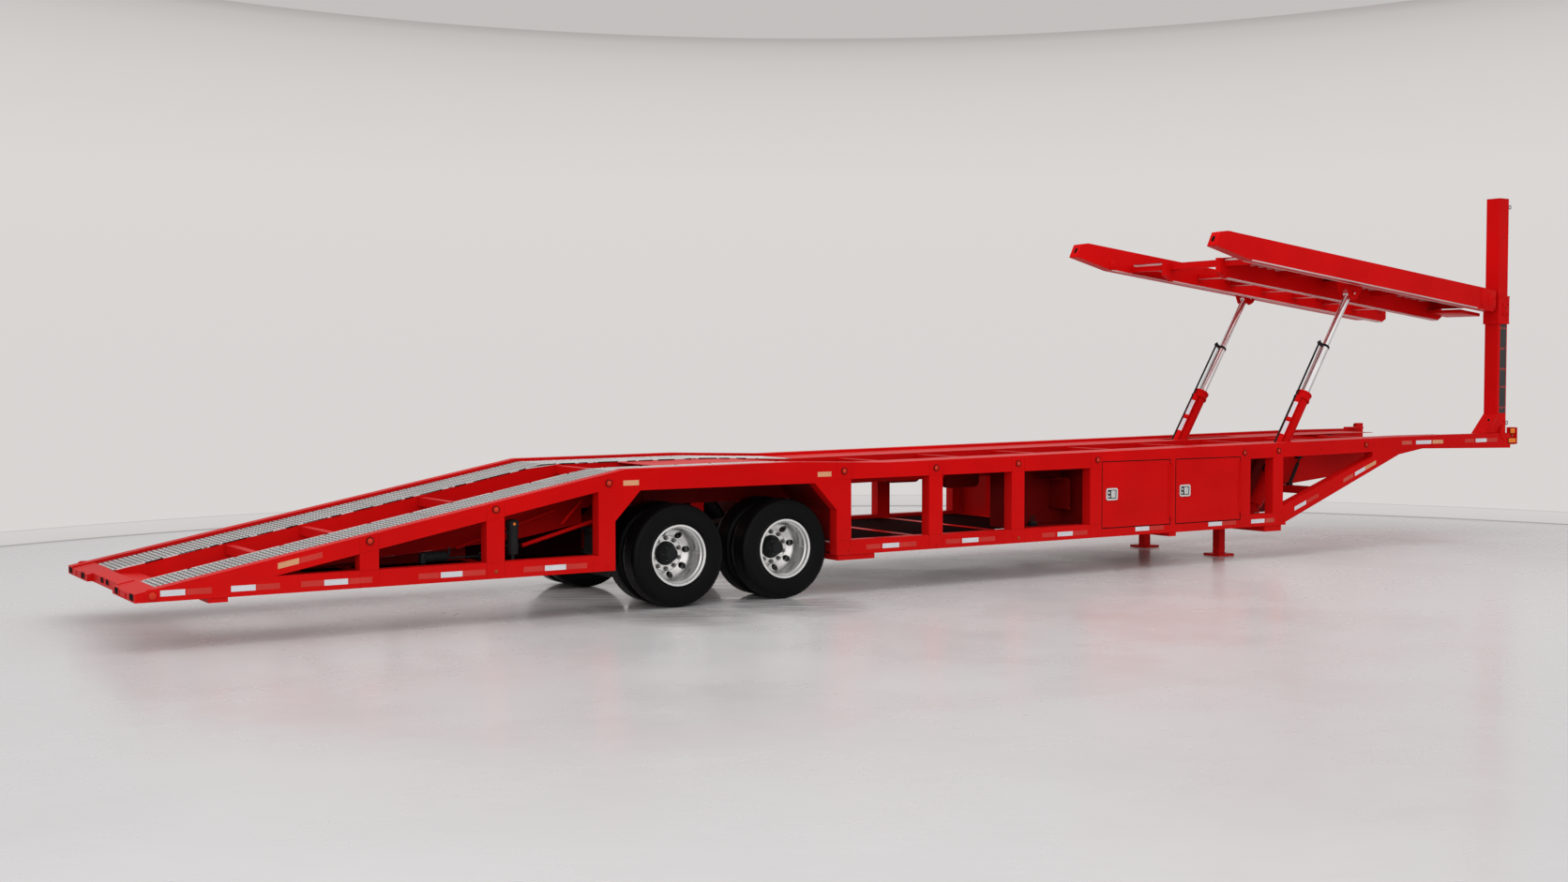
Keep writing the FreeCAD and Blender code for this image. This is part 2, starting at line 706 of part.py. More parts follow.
def runways():
    """Tread plates on the ramp and arch, plain plates on the main deck, and the plate over the arch."""
    pair("tread_plates", strip(s.tread_back, s.tread_front, s.lip, s.plate, RUNWAY))
    slot_half = s.collar_r + s.slot_room
    slot = (-LIFT_Y - slot_half, -LIFT_Y + slot_half)
    pair(
        "deck_plates",
        strip(s.dip_x, SLOT_BACK, s.lip, s.plate, RUNWAY),
        strip(SLOT_BACK, SLOT_FRONT, s.lip, s.plate, (RUNWAY[0], slot[0])),
        strip(SLOT_BACK, SLOT_FRONT, s.lip, s.plate, (slot[1], RUNWAY[1])),
        strip(SLOT_FRONT, DECK_FRONT, s.lip, s.plate, RUNWAY),
    )
    cover = (ARCH_FRONT - 1558, ARCH_FRONT - 88)
    node("arch_plate", strip(*cover, DECK_BELOW + 4, s.plate, (-s.rail_inner_y, s.rail_inner_y)))


def cross_members():
    """Members between the inner rails, and from each inner rail to its side frame, under the plates."""
    middle = s.post_wide / 2
    stations = [
        s.post_tail - 614,
        s.post_tail + middle,
        s.post_mid + middle,
        POST_ARCH + 452,
        ARCH_FRONT - 908,
        ARCH_FRONT + middle,
        s.post_one + middle,
        s.post_two + middle,
        s.post_box + middle,
        s.post_split + s.split_wide / 2,
        s.post_bay + middle,
        SLOT_BACK + 410,
        SLOT_FRONT + 250,
        s.neck_x - 350,
        DECK_FRONT - 100,
    ]
    pieces = []
    for station in stations:
        xs = (station - s.member_wide / 2, station + s.member_wide / 2)
        falls = number_of(s.crest_x) < number_of(station) < number_of(s.dip_x)
        slack = s.neck_beam_drop if number_of(station) > number_of(s.neck_x) else 12
        high = top_at(xs[1] if falls else xs[0]) - DECK_BELOW - slack
        zs = (high - s.member_tall, high)
        pieces.append(box(xs, (-s.rail_inner_y, s.rail_inner_y), zs))
        if not number_of(SLOT_BACK) < number_of(station) < number_of(SLOT_FRONT):
            side = box(xs, (-FRAME_INNER, INNER[0]), zs)
            pieces += [side, left(side)]
    node("deck_cross_members", *pieces)

    members = []
    posts = (s.post_tail, s.post_mid, ARCH_FRONT, s.post_one, s.post_two, s.post_box, s.post_bay)
    for post in posts:
        xs = (post + middle - s.belly_wide / 2, post + middle + s.belly_wide / 2)
        members.append(box(xs, (-FRAME_INNER, FRAME_INNER), (s.belly_low, s.belly_low + s.belly_tall)))
    skid = (s.skid_inset - s.half_width, s.half_width - s.skid_inset)
    for back, front, low in (
        (s.post_tail - 1282, s.post_tail - 1122, 365),
        (ARCH_FRONT + 22, ARCH_FRONT + 482, 350),
        (s.post_split, s.post_split + 110, 360),
    ):
        members.append(box((back, front), skid, (low, s.rail_low)))
    strut_z = inner_low(s.strut_x)
    members.append(box((s.strut_x, s.strut_x + 100), (-FRAME_INNER, FRAME_INNER), (strut_z - 95, strut_z)))

    foot = box((s.lift_x - 215, s.lift_x + 75), skid, (335, s.rail_low))
    ears = []
    for side in (-1, 1):
        y = -LIFT_Y + side * number_of(s.lift_slot) / 2
        ys = (y - s.ear_thick, y) if side < 0 else (y, y + s.ear_thick)
        ear = profile(
            [
                (s.lift_x - 90, s.rail_low),
                (s.lift_x + 75, s.rail_low),
                (s.lift_x + 60, s.lift_z + 45),
                (s.lift_x + 25, s.lift_z + 70),
                (s.lift_x - 25, s.lift_z + 70),
                (s.lift_x - 60, s.lift_z + 45),
            ],
            ys,
        )
        bore = bar("y", (s.lift_x, ys[0] - 1, s.lift_z), s.pin_r + s.running_gap, s.ear_thick + 2)
        ears.append(cut(ear, bore))
    node("belly_cross_members", *members, foot, *ears, *[left(ear) for ear in ears])


def tail_beam():
    """The rear cross beam: a solid end under each runway, joined by a beam with a sloped top."""
    def wedge(back, front, ys, below):
        return profile(
            [
                (back, s.rail_low),
                (front, s.rail_low),
                (front, top_at(front) - below),
                (back, top_at(back) - below),
            ],
            ys,
        )

    end = wedge(s.tail_x, s.tread_back, RUNWAY, 12)
    middle = wedge(s.tail_x + 46, s.tail_x + 180, (-s.rail_inner_y, s.rail_inner_y), 6)
    node("tail_beam", fuse(end, left(end), middle))


# --------------------------------------------------------------------------------------------------
# Toolboxes, their doors, and the open valve bay on the right-hand side
# --------------------------------------------------------------------------------------------------
def toolboxes():
    """Sheet-metal boxes behind the side frames, each split in two, with a side-hinged door for each half."""
    member = s.belly_wide / 2
    back = s.post_box + s.post_wide / 2 + member
    front = s.post_bay + s.post_wide / 2 - member
    middle = s.post_split + s.split_wide / 2
    deep = FRAME_INNER - s.box_deep
    shell = box((back, front), (-FRAME_INNER, -deep), (s.box_low, s.box_high))
    rooms = [
        box(
            (low + s.sheet, high - s.sheet),
            (-FRAME_INNER - 1, -deep - s.sheet),
            (s.box_low + s.sheet, s.box_high - s.sheet),
        )
        for low, high in ((back, middle + s.sheet / 2), (middle - s.sheet / 2, front))
    ]
    sides("toolbox", cut(shell, *rooms))

    openings = {
        "rear": (s.post_box + s.post_wide, s.post_split),
        "front": (s.post_split + s.split_wide, s.post_bay),
    }
    for name, (low, high) in openings.items():
        hinge_x = high + s.hinge_in
        hinge_y = -(s.half_width + s.barrel_r + 1)
        face = -s.half_width
        panel = box(
            (low + s.door_gap, high - s.door_gap),
            (face, face + s.door_thick),
            (s.door_sill_z + s.door_gap, s.door_head_z - s.door_gap),
        )
        tall = BARREL_HIGH - BARREL_LOW
        barrel = bar("z", (hinge_x, hinge_y, BARREL_LOW), s.barrel_r, tall)
        leaf = box(
            (hinge_x - s.leaf_wide, hinge_x),
            (face - s.leaf, face),
            (BARREL_LOW, BARREL_HIGH),
        )
        bore = bar("z", (hinge_x, hinge_y, BARREL_LOW - 1), s.barrel_r / 2 + s.running_gap, tall + 2)
        sides(f"toolbox_door_{name}", cut(fuse(panel, barrel, leaf), bore))

    bay_back = s.post_two + s.post_wide / 2 + member
    bay_front = s.post_box + s.post_wide / 2 - member
    ys = (-FRAME_INNER, s.bay_deep - FRAME_INNER)
    zs = (RAIL_HIGH, s.head_back_z - s.bay_head)
    node(
        "bay_panels",
        box((bay_back, bay_back + s.sheet), ys, zs),
        box((bay_front - s.sheet, bay_front), ys, zs),
        box((bay_back, bay_front), (ys[1], ys[1] + s.sheet), (zs[0] - s.sheet, zs[1] + s.sheet)),
        box((bay_back, bay_front), ys, (zs[0] - s.sheet, zs[0])),
        box((bay_back, bay_front), ys, (zs[1], zs[1] + s.sheet)),
    )


# --------------------------------------------------------------------------------------------------
# Axles, wheels and springs
# --------------------------------------------------------------------------------------------------
def running_gear():
    """Two dead axles on leaf springs, and four pairs of twin wheels."""
    hub_y = WHEEL_Y - s.twin_gap / 2
    axles = []
    for x in (0, s.axle_gap):
        tube_half = hub_y - s.drum_back - 5
        spindle_half = hub_y - s.drum_front
        tube = bar("y", (x, -tube_half, s.tyre_r), s.axle_r, tube_half * 2)
        spindle = bar("y", (x, -spindle_half, s.tyre_r), s.spindle_r, spindle_half * 2)
        axles.append(fuse(tube, spindle))
    node("axles", *axles)

    top = s.tyre_r + s.axle_r
    eye_z = top + s.spring_sag + 30
    span = s.axle_gap / 2
    half_hanger = s.hanger_wide / 4
    ys = (-(s.spring_y + s.spring_wide / 2), -(s.spring_y - s.spring_wide / 2))
    hangers = []
    for x in (-span, span, span * 3):
        low, high = x - half_hanger, x + half_hanger
        wide_low, wide_high = x - half_hanger * 2, x + half_hanger * 2
        hangers.append(
            profile(
                [
                    (low, eye_z - 30),
                    (high, eye_z - 30),
                    (high, eye_z + s.spring_tall),
                    (wide_high, eye_z + s.spring_tall + 90),
                    (wide_high, inner_low(wide_high)),
                    (wide_low, inner_low(wide_low)),
                    (wide_low, eye_z + s.spring_tall + 90),
                    (low, eye_z + s.spring_tall),
                ],
                ys,
            )
        )
    springs = []
    for x in (0, s.axle_gap):
        seat = box((x - 60, x + 60), ys, (top - 25, top + 31))
        tube = bar("y", (x, ys[0] - 1, s.tyre_r), s.axle_r, s.spring_wide + 2)
        reach = span - half_hanger - s.running_gap
        leaf = profile(
            [
                (x - reach, eye_z),
                (x - 90, top + 30),
                (x + 90, top + 30),
                (x + reach, eye_z),
                (x + reach, eye_z + s.spring_tall / 2),
                (x + 120, top + 30 + s.spring_tall),
                (x - 120, top + 30 + s.spring_tall),
                (x - reach, eye_z + s.spring_tall / 2),
            ],
            ys,
        )
        springs.append(fuse(cut(seat, tube), leaf))
    pair("spring_hangers", *hangers)
    pair("leaf_springs", *springs)

    half = s.tyre_wide / 2
    tyre_outline = [
        (-(half - 34), s.bead_r),
        (half - 34, s.bead_r),
        (half - 34, s.rim_r + 1),
        (half - 14, s.rim_r + 26),
        (half, s.bead_r + 104),
        (half - 8, s.tyre_r - 46),
        (half - 26, s.tyre_r - 10),
        (half - 46, s.tyre_r),
        (-(half - 46), s.tyre_r),
        (-(half - 26), s.tyre_r - 10),
        (-(half - 8), s.tyre_r - 46),
        (-half, s.bead_r + 104),
        (-(half - 14), s.rim_r + 26),
        (-(half - 34), s.rim_r + 1),
    ]
    rim = s.rim_wide / 2
    seat_r = s.bead_r - s.running_gap
    inside = seat_r - s.rim_wall
    disc_in = s.twin_gap / 2 - s.seat_gap / 2

    def rim_outline(turn):
        """A rim with its disc; turn is 1 for a dish open to the outside and -1 for its inner twin."""
        corners = [
            (-(half - 34) - 2, seat_r),
            (-(half - 34) - 2, s.rim_r),
            (-rim, s.rim_r),
            (-rim, inside),
            (rim - 60, inside),
            (rim - 30, inside - 40),
            (disc_in - s.disc_thick, s.hub_r + 44),
            (disc_in - s.disc_thick, s.cap_r + s.running_gap),
            (disc_in, s.cap_r + s.running_gap),
            (disc_in, s.hub_r + 44),
            (rim - 18, inside - 34),
            (rim, inside),
            (rim, s.rim_r),
            ((half - 34) + 2, s.rim_r),
            ((half - 34) + 2, seat_r),
        ]
        return [(y * turn, radius) for y, radius in corners]

    face = -hub_y
    for row, x in (("rear", 0), ("front", s.axle_gap)):
        outer_at = (x, -WHEEL_Y, s.tyre_r)
        inner_at = (x, -WHEEL_Y + s.twin_gap, s.tyre_r)
        sides(f"tyres_{row}", turned(tyre_outline, outer_at), turned(tyre_outline, inner_at))
        flange = s.disc_thick + s.seat_gap / 2
        blind = s.drum_front - s.running_gap * 2
        hub = turned(
            [
                (-150, 0),
                (blind, 0),
                (blind, s.spindle_r + s.running_gap),
                (s.drum_back, s.spindle_r + s.running_gap),
                (s.drum_back, s.drum_r),
                (s.drum_front, s.drum_r),
                (s.drum_front, s.hub_r + 40),
                (flange, s.hub_r + 40),
                (flange, s.cap_r),
                (-120, s.cap_r),
                (-150, s.cap_r - 24),
            ],
            (x, face, s.tyre_r),
        )
        sides(
            f"wheels_{row}",
            turned(rim_outline(1), outer_at),
            turned(rim_outline(-1), inner_at),
            hub,
        )

    inner_y = -(FRAME_INNER - s.flap_wide)
    flap_bar = box(
        (ARCH_BACK - s.flap_bar, ARCH_BACK),
        (-FRAME_INNER, inner_y),
        (s.flap_high - s.flap_bar, s.flap_high),
    )
    flap = box(
        (ARCH_BACK, ARCH_BACK + s.flap_thick),
        (-FRAME_INNER + s.flap_inset, inner_y),
        (s.flap_low, s.flap_high),
    )
    pair("mudflaps", fuse(flap_bar, flap))


# --------------------------------------------------------------------------------------------------
# Neck: coupler plate, kingpin, landing legs, struts
# --------------------------------------------------------------------------------------------------
def neck_parts():
    """What the tractor takes hold of, and what the trailer stands on without it."""
    low = s.coupler_z - s.coupler_thick
    half = s.coupler_half
    front = s.nose_x - s.coupler_inset
    pin_x = s.nose_x - s.kingpin_inset
    hole = bar("z", (pin_x, 0, low - 1), s.kingpin_head_r + s.running_gap, s.coupler_thick + 2)
    node("coupler_plate", cut(box((s.coupler_back, front), (-half, half), (low, s.coupler_z)), hole))
    collar = (s.kingpin_long - s.kingpin_neck) / 2
    pin = fuse(
        bar("z", (pin_x, 0, s.coupler_z), s.kingpin_flange_r, s.coupler_thick),
        bar("z", (pin_x, 0, low - collar), s.kingpin_head_r, s.coupler_thick + collar),
        bar("z", (pin_x, 0, low - collar - s.kingpin_neck), s.kingpin_r, s.kingpin_neck),
        bar("z", (pin_x, 0, low - s.kingpin_long), s.kingpin_head_r, collar),
    )
    node("kingpin", pin)

    leg_half = s.leg_wide / 2
    y = INNER[0] - leg_half
    rail_top = top_at(s.leg_x) - DECK_BELOW
    xs = (s.leg_x - leg_half, s.leg_x + leg_half)
    upper = box(xs, (y - leg_half, INNER[0]), (s.leg_split, rail_top - 40))
    thin = s.leg_inner_wide / 2
    lower = box((s.leg_x - thin, s.leg_x + thin), (y - thin, y + thin), (s.shoe_tall, s.leg_split))
    wide = s.shoe_wide / 2
    shoe = box((s.leg_x - wide, s.leg_x + wide), (y - wide, y + wide), (0, s.shoe_tall))
    pair("landing_legs", fuse(upper, lower, shoe))

    strut_y = INNER[0] - 60
    foot_z = inner_low(s.strut_x)
    lug = box((s.strut_x + 25, s.strut_x + 85), (strut_y - 30, strut_y + 30), (foot_z, foot_z + 30))
    strut = fuse(bar("z", (0, 0, 0), 22, 300), bar("z", (0, 0, 290), 11, 120))
    put(strut, (s.strut_x + 60, strut_y, foot_z + 16), Rotation(Vector(0, 1, 0), 30))
    ear = box((s.strut_x + 220, s.strut_x + 290), (strut_y - 8, INNER[0]), (foot_z + 335, foot_z + 385))
    pair("neck_struts", fuse(strut, lug, ear))


# --------------------------------------------------------------------------------------------------
# Front post, sleeve and upper deck
# --------------------------------------------------------------------------------------------------
def front_post():
    """The square post at the right-hand end of the neck, and the empty pad across from it."""
    xs = (POST_X, POST_X + s.post_side)
    ys = (-POST_Y, -POST_Y + s.post_side)
    gusset = profile(
        [(POST_X - s.gusset, s.neck_z), (POST_X, s.neck_z), (POST_X, s.neck_z + s.gusset)], ys
    )
    base = box((POST_X - s.gusset, xs[1]), (-FRAME_INNER, ys[1]), (s.neck_z - s.lip, s.neck_z))
    node("front_post", fuse(box(xs, ys, (s.neck_z, s.post_top)), gusset, base))
    node("left_post_pad", box(xs, (-ys[1], -ys[0]), (s.neck_z, s.neck_z + 24)))

    play = s.sleeve_play
    grow = play + s.sleeve_wall
    sleeve_low = HINGE_Z - s.sleeve_drop
    zs = (sleeve_low, sleeve_low + s.sleeve_tall)
    outer = box((xs[0] - grow, xs[1] + grow), (ys[0] - grow, ys[1] + grow), zs)
    gap = s.pad_gap
    through = box((xs[0] - gap, xs[1] + gap), (ys[0] - gap, ys[1] + gap), (zs[0] - 1, zs[1] + 1))
    relief = box(
        (xs[0] - play, xs[1] + play),
        (ys[0] - play, ys[1] + play),
        (zs[0] + s.pad_tall, zs[1] - s.pad_tall),
    )
    beam_inner = -POST_Y + s.upper_wide
    ear_y = beam_inner + s.ear_gap
    disc = bar("y", (HINGE_X, ear_y, HINGE_Z), s.ear_r, s.ear_thick)
    web = box(
        (HINGE_X, xs[0] - grow + 1),
        (ear_y, ear_y + s.ear_thick),
        (HINGE_Z - s.ear_r, HINGE_Z + s.ear_r),
    )
    pin = bar("y", (HINGE_X, -POST_Y, HINGE_Z), s.hinge_r, s.upper_wide + s.ear_gap + 2)
    node("post_sleeve", fuse(cut(outer, through, relief), disc, web, pin))


def upper_deck():
    """Two outer beams, two inner beams, plates between them, cross members and the cylinders' brackets."""
    beam_ys = (-POST_Y, -POST_Y + s.upper_wide)
    start = s.upper_back_x + 116
    front = POST_X - s.upper_clear
    inner_front = front - s.inner_short
    beam = profile(
        [
            (s.upper_heel_x, s.upper_heel_z),
            (s.upper_heel_end, upper_low(s.upper_heel_end)),
            (front - s.upper_toe, upper_low(front - s.upper_toe)),
            (front, upper_low(front) + s.upper_toe),
            (front, upper_low(front, s.upper_depth)),
            (start, upper_low(start, s.upper_depth)),
            (s.upper_back_x, s.upper_back_z),
        ],
        beam_ys,
    )
    bore = bar(
        "y", (HINGE_X, beam_ys[0] - 1, HINGE_Z), s.hinge_r + s.running_gap, s.upper_wide + 2
    )
    node("upper_beam_right", cut(beam, bore))
    node("upper_beam_left", left(beam))

    inner = profile(
        [
            (s.inner_back, upper_low(s.inner_back) - s.inner_drop + 60),
            (s.inner_back + 120, upper_low(s.inner_back + 120) - s.inner_drop),
            (inner_front - 90, upper_low(inner_front - 90) - s.inner_drop),
            (inner_front, upper_low(inner_front) - s.inner_drop + 60),
            (inner_front, upper_low(inner_front, s.inner_drop)),
            (s.inner_back, upper_low(s.inner_back, s.inner_drop)),
        ],
        (-s.rail_inner_y, -s.rail_inner_y + s.rail_inner_wide),
    )
    pair("upper_inner_beams", inner)

    def floor(back, ahead, ys):
        """A plate on the inner beams' top line."""
        corners = ((back, s.inner_drop), (ahead, s.inner_drop))
        upper = ((ahead, s.inner_drop + s.plate), (back, s.inner_drop + s.plate))
        return profile([(x, upper_low(x, above)) for x, above in (*corners, *upper)], ys)

    low, high = s.upper_floor_back, front - s.upper_floor_short
    outer_y, inner_y = beam_ys[1] + s.upper_floor_gap, -s.rail_inner_y + s.rail_inner_wide
    slot_half = s.lift_slot / 2 + s.ear_thick
    slot_low, slot_high = LIFT_PIN[0] - s.window_back, LIFT_PIN[0] + s.window_front
    pair(
        "upper_runways",
        floor(low, slot_low, (outer_y, inner_y)),
        floor(slot_low, slot_high, (outer_y, -LIFT_Y - slot_half)),
        floor(slot_low, slot_high, (-LIFT_Y + slot_half, inner_y)),
        floor(slot_high, high, (outer_y, inner_y)),
    )

    members = []
    middle = []
    for station in (s.inner_back + 120, s.inner_back + 1120, LIFT_PIN[0] + 950, inner_front - 140):
        xs = (station - s.member_wide / 2, station + s.member_wide / 2)
        high_z = upper_low(xs[1], s.inner_drop) - 1
        zs = (high_z - s.member_tall, high_z)
        members.append(box(xs, (beam_ys[1], -s.rail_inner_y), zs))
        middle.append(
            box(xs, (-s.rail_inner_y + s.rail_inner_wide, s.rail_inner_y - s.rail_inner_wide), zs)
        )
    node("upper_cross_members", *members, *[left(member) for member in members], *middle)

    px, pz = LIFT_PIN[0], LIFT_PIN[1]
    arm_z = (upper_low(px, 20), upper_low(px, 96))
    slot_half = s.lift_slot / 2
    outer_ear = (-LIFT_Y - slot_half - s.ear_thick, -LIFT_Y - slot_half)
    inner_ear = (-LIFT_Y + slot_half, -LIFT_Y + slot_half + s.ear_thick)

    def ear(ys):
        return profile(
            [
                (px - 120, arm_z[1]),
                (px - 120, pz + 70),
                (px - 62, pz - 62),
                (px, pz - 92),
                (px + 70, pz - 62),
                (px + 170, pz + 62),
                (px + 170, arm_z[1]),
            ],
            ys,
        )

    outer_arm = box((px - 70, px + 110), (beam_ys[1], outer_ear[0]), arm_z)
    inner_arm = box((px - 70, px + 110), (inner_ear[1], -s.rail_inner_y), arm_z)
    head = bar("y", (px, outer_ear[0] - 16, pz), s.pin_r, 16)
    inner_head = bar("y", (px, inner_ear[1], pz), s.pin_r, 16)
    pair("lift_brackets", fuse(ear(outer_ear), outer_arm, head), fuse(ear(inner_ear), inner_arm, inner_head))


# --------------------------------------------------------------------------------------------------
# Lift cylinders
# --------------------------------------------------------------------------------------------------
def lift_cylinders():
    """Two-stage cylinders, drawn upright on their lower pin and then leaned forward."""
    def lean(obj):
        """Stand a piece on the right-hand lower pin and lean it forward."""
        put(obj, (s.lift_x, -LIFT_Y, s.lift_z), Rotation(Vector(0, 1, 0), SIZES["lift_lean"][0]))
        obj.setExpression("Placement.Rotation.Angle", "sizes.lift_lean * 1 deg")
        return obj

    reach = s.lift_slot / 2 + s.ear_thick
    pin = bar("y", (s.lift_x, -LIFT_Y - reach - 6, s.lift_z), s.pin_r, (reach + 6) * 2)
    pair("lift_pins", pin)

    half = s.eye_wide / 2
    collar_low = s.barrel_long - s.collar_tall
    eye = bar("y", (0, -half, 0), s.eye_r, s.eye_wide)
    body = bar("z", (0, 0, 40), s.eye_r - 14, 90)
    tube = bar("z", (0, 0, 120), s.cylinder_r, s.barrel_long - 120)
    collar = bar("z", (0, 0, collar_low), s.collar_r, s.collar_tall)
    pin_bore = bar("y", (0, -half - 1, 0), s.pin_r + s.running_gap, s.eye_wide + 2)
    stage_bore = bar("z", (0, 0, 150), s.stage_r + s.running_gap, s.barrel_long)
    pair("lift_barrels", lean(cut(fuse(eye, body, tube, collar), pin_bore, stage_bore)))

    stage_low = s.barrel_long - s.stage_in
    stage = bar("z", (0, 0, stage_low), s.stage_r, s.stage_in + s.stage_out)
    rod_bore = bar("z", (0, 0, stage_low + 20), s.rod_r + s.running_gap, s.stage_in + s.stage_out)
    pair("lift_stages", lean(cut(stage, rod_bore)))

    stage_top = s.barrel_long + s.stage_out
    eye_z = stage_top + s.rod_out
    rod = bar("z", (0, 0, stage_top - s.rod_in), s.rod_r, s.rod_in + s.rod_out - 30)
    rod_eye = bar("y", (0, -half, eye_z), s.eye_r - 6, s.eye_wide)
    rod_eye_bore = bar("y", (0, -half - 1, eye_z), s.pin_r + s.running_gap, s.eye_wide + 2)
    pair("lift_rods", lean(cut(fuse(rod, rod_eye), rod_eye_bore)))


# --------------------------------------------------------------------------------------------------
# Build, check and write
# --------------------------------------------------------------------------------------------------
side_frames()
inner_rails()
runways()
cross_members()
tail_beam()
toolboxes()
running_gear()
neck_parts()
front_post()
upper_deck()
lift_cylinders()
doc.recompute()

failed = [obj for obj in doc.Objects if {"Invalid", "Error"} & set(obj.State)]
faults = [f"{obj.Name} ({obj.Label}): {obj.State}" for obj in failed]
for group in nodes:
    shape = group.Shape
    if shape.isNull() or not shape.isValid():
        faults.append(f"{group.Label}: null or invalid shape")
    elif len(shape.Solids) != len(group.Links):
        faults.append(f"{group.Label}: {len(shape.Solids)} solids from {len(group.Links)} pieces")
if faults:
    raise RuntimeError("\n".join(faults))

os.makedirs("parts", exist_ok=True)
for group in nodes:
    group.Shape.exportStep(f"parts/{group.Label}.step")
print(f"{len(nodes)} nodes written")
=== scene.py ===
"""Looks of the car transporter semi-trailer: paint, tread, tyres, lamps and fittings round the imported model.

Lengths are in metres in the row frame: X forward, Y to the left, Z up. A station is measured forward from
the rear axle, as a trailer builder does, and Datum turns it into the row frame.
"""

import logging
from dataclasses import dataclass, field
from enum import Enum
from math import atan2, cos, pi, radians, sin, tau
from typing import Callable, Iterable, Optional, Sequence, Union

import bmesh
import bpy
import numpy as np
from mathutils import Matrix, Vector


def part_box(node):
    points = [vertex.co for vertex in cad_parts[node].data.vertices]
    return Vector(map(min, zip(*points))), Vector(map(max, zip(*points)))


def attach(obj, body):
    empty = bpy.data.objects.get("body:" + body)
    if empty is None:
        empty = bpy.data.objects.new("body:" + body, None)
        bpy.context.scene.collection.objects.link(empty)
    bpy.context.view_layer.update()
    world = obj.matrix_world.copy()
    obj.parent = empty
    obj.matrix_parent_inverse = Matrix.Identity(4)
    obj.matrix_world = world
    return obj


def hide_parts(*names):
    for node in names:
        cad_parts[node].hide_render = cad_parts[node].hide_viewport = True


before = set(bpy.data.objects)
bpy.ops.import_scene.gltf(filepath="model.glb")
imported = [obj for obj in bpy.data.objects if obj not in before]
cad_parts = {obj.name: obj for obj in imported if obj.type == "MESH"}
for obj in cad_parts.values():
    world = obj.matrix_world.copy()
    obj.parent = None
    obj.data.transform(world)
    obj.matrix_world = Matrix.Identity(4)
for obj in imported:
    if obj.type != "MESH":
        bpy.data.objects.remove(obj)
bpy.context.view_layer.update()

log = logging.getLogger("trailer")

Point = tuple[float, float, float]
Flat = tuple[float, float]
Colour = tuple[float, float, float]
Socket, Tree, Node = bpy.types.NodeSocket, bpy.types.NodeTree, bpy.types.Node
Material, Mesh = bpy.types.Material, bpy.types.Mesh

# Where the camera stands, and the segments of the studio's round edges.
EYE: Point = (-12.3665, -15.8355, 2.2368)
ROUND = 180


class Slot(Enum):
    """Names of material slots."""

    RED = "red_steel"
    TREAD = "tread_aluminium"
    TYRE = "tyre"
    WHEEL = "wheel_metal"
    BARE = "bare_steel"
    BLACK = "black_steel"
    RUBBER = "rubber"


class Body(Enum):
    """The bodies that pieces ride on, apart from the wheels and doors, which have one for each place."""

    CHASSIS = "chassis"
    SLEEVE = "post_sleeve"
    DECK = "upper_deck"
    BARRELS = "lift_barrels"
    STAGES = "lift_stages"


class Side(Enum):
    """Right-hand or left-hand, with the sign that Y takes."""

    RIGHT = -1
    LEFT = 1

    @property
    def word(self) -> str:
        """The side's name as the CAD nodes spell it."""
        return self.name.lower()


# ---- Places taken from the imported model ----

@dataclass(frozen=True)
class Datum:
    """Lines that many pieces are placed from."""

    axle: float = field(default_factory=lambda: sum(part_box("wheels_rear_right")[i].x for i in (0, 1)) / 2)
    face: float = field(default_factory=lambda: abs(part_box("top_rail_right")[0].y))
    frame_depth: float = field(
        default_factory=lambda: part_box("top_rail_right")[1].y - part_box("top_rail_right")[0].y)
    low: float = field(default_factory=lambda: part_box("bottom_rail_right")[0].z)
    lip: float = 0.03
    top_line: tuple[Flat, ...] = (
        (-5.05, 0.478), (-0.6, 1.355), (1.33, 1.37), (2.46, 1.335),
        (10.65, 1.44), (11.6, 1.45), (13.0, 1.45),
    )

    def x(self, station: float) -> float:
        """Turn a station into X in the row frame."""
        return self.axle + station

    def top(self, station: float) -> float:
        """Height of the outer rail's top edge at a station."""
        return float(np.interp(station, [p[0] for p in self.top_line], [p[1] for p in self.top_line]))

    def slope(self, station: float) -> float:
        """Angle of the top edge at a station, in radians, positive where it rises forward."""
        for low, high in zip(self.top_line, self.top_line[1:]):
            if station <= high[0]:
                return atan2(high[1] - low[1], high[0] - low[0])
        return 0.0


# ---- Node trees ----

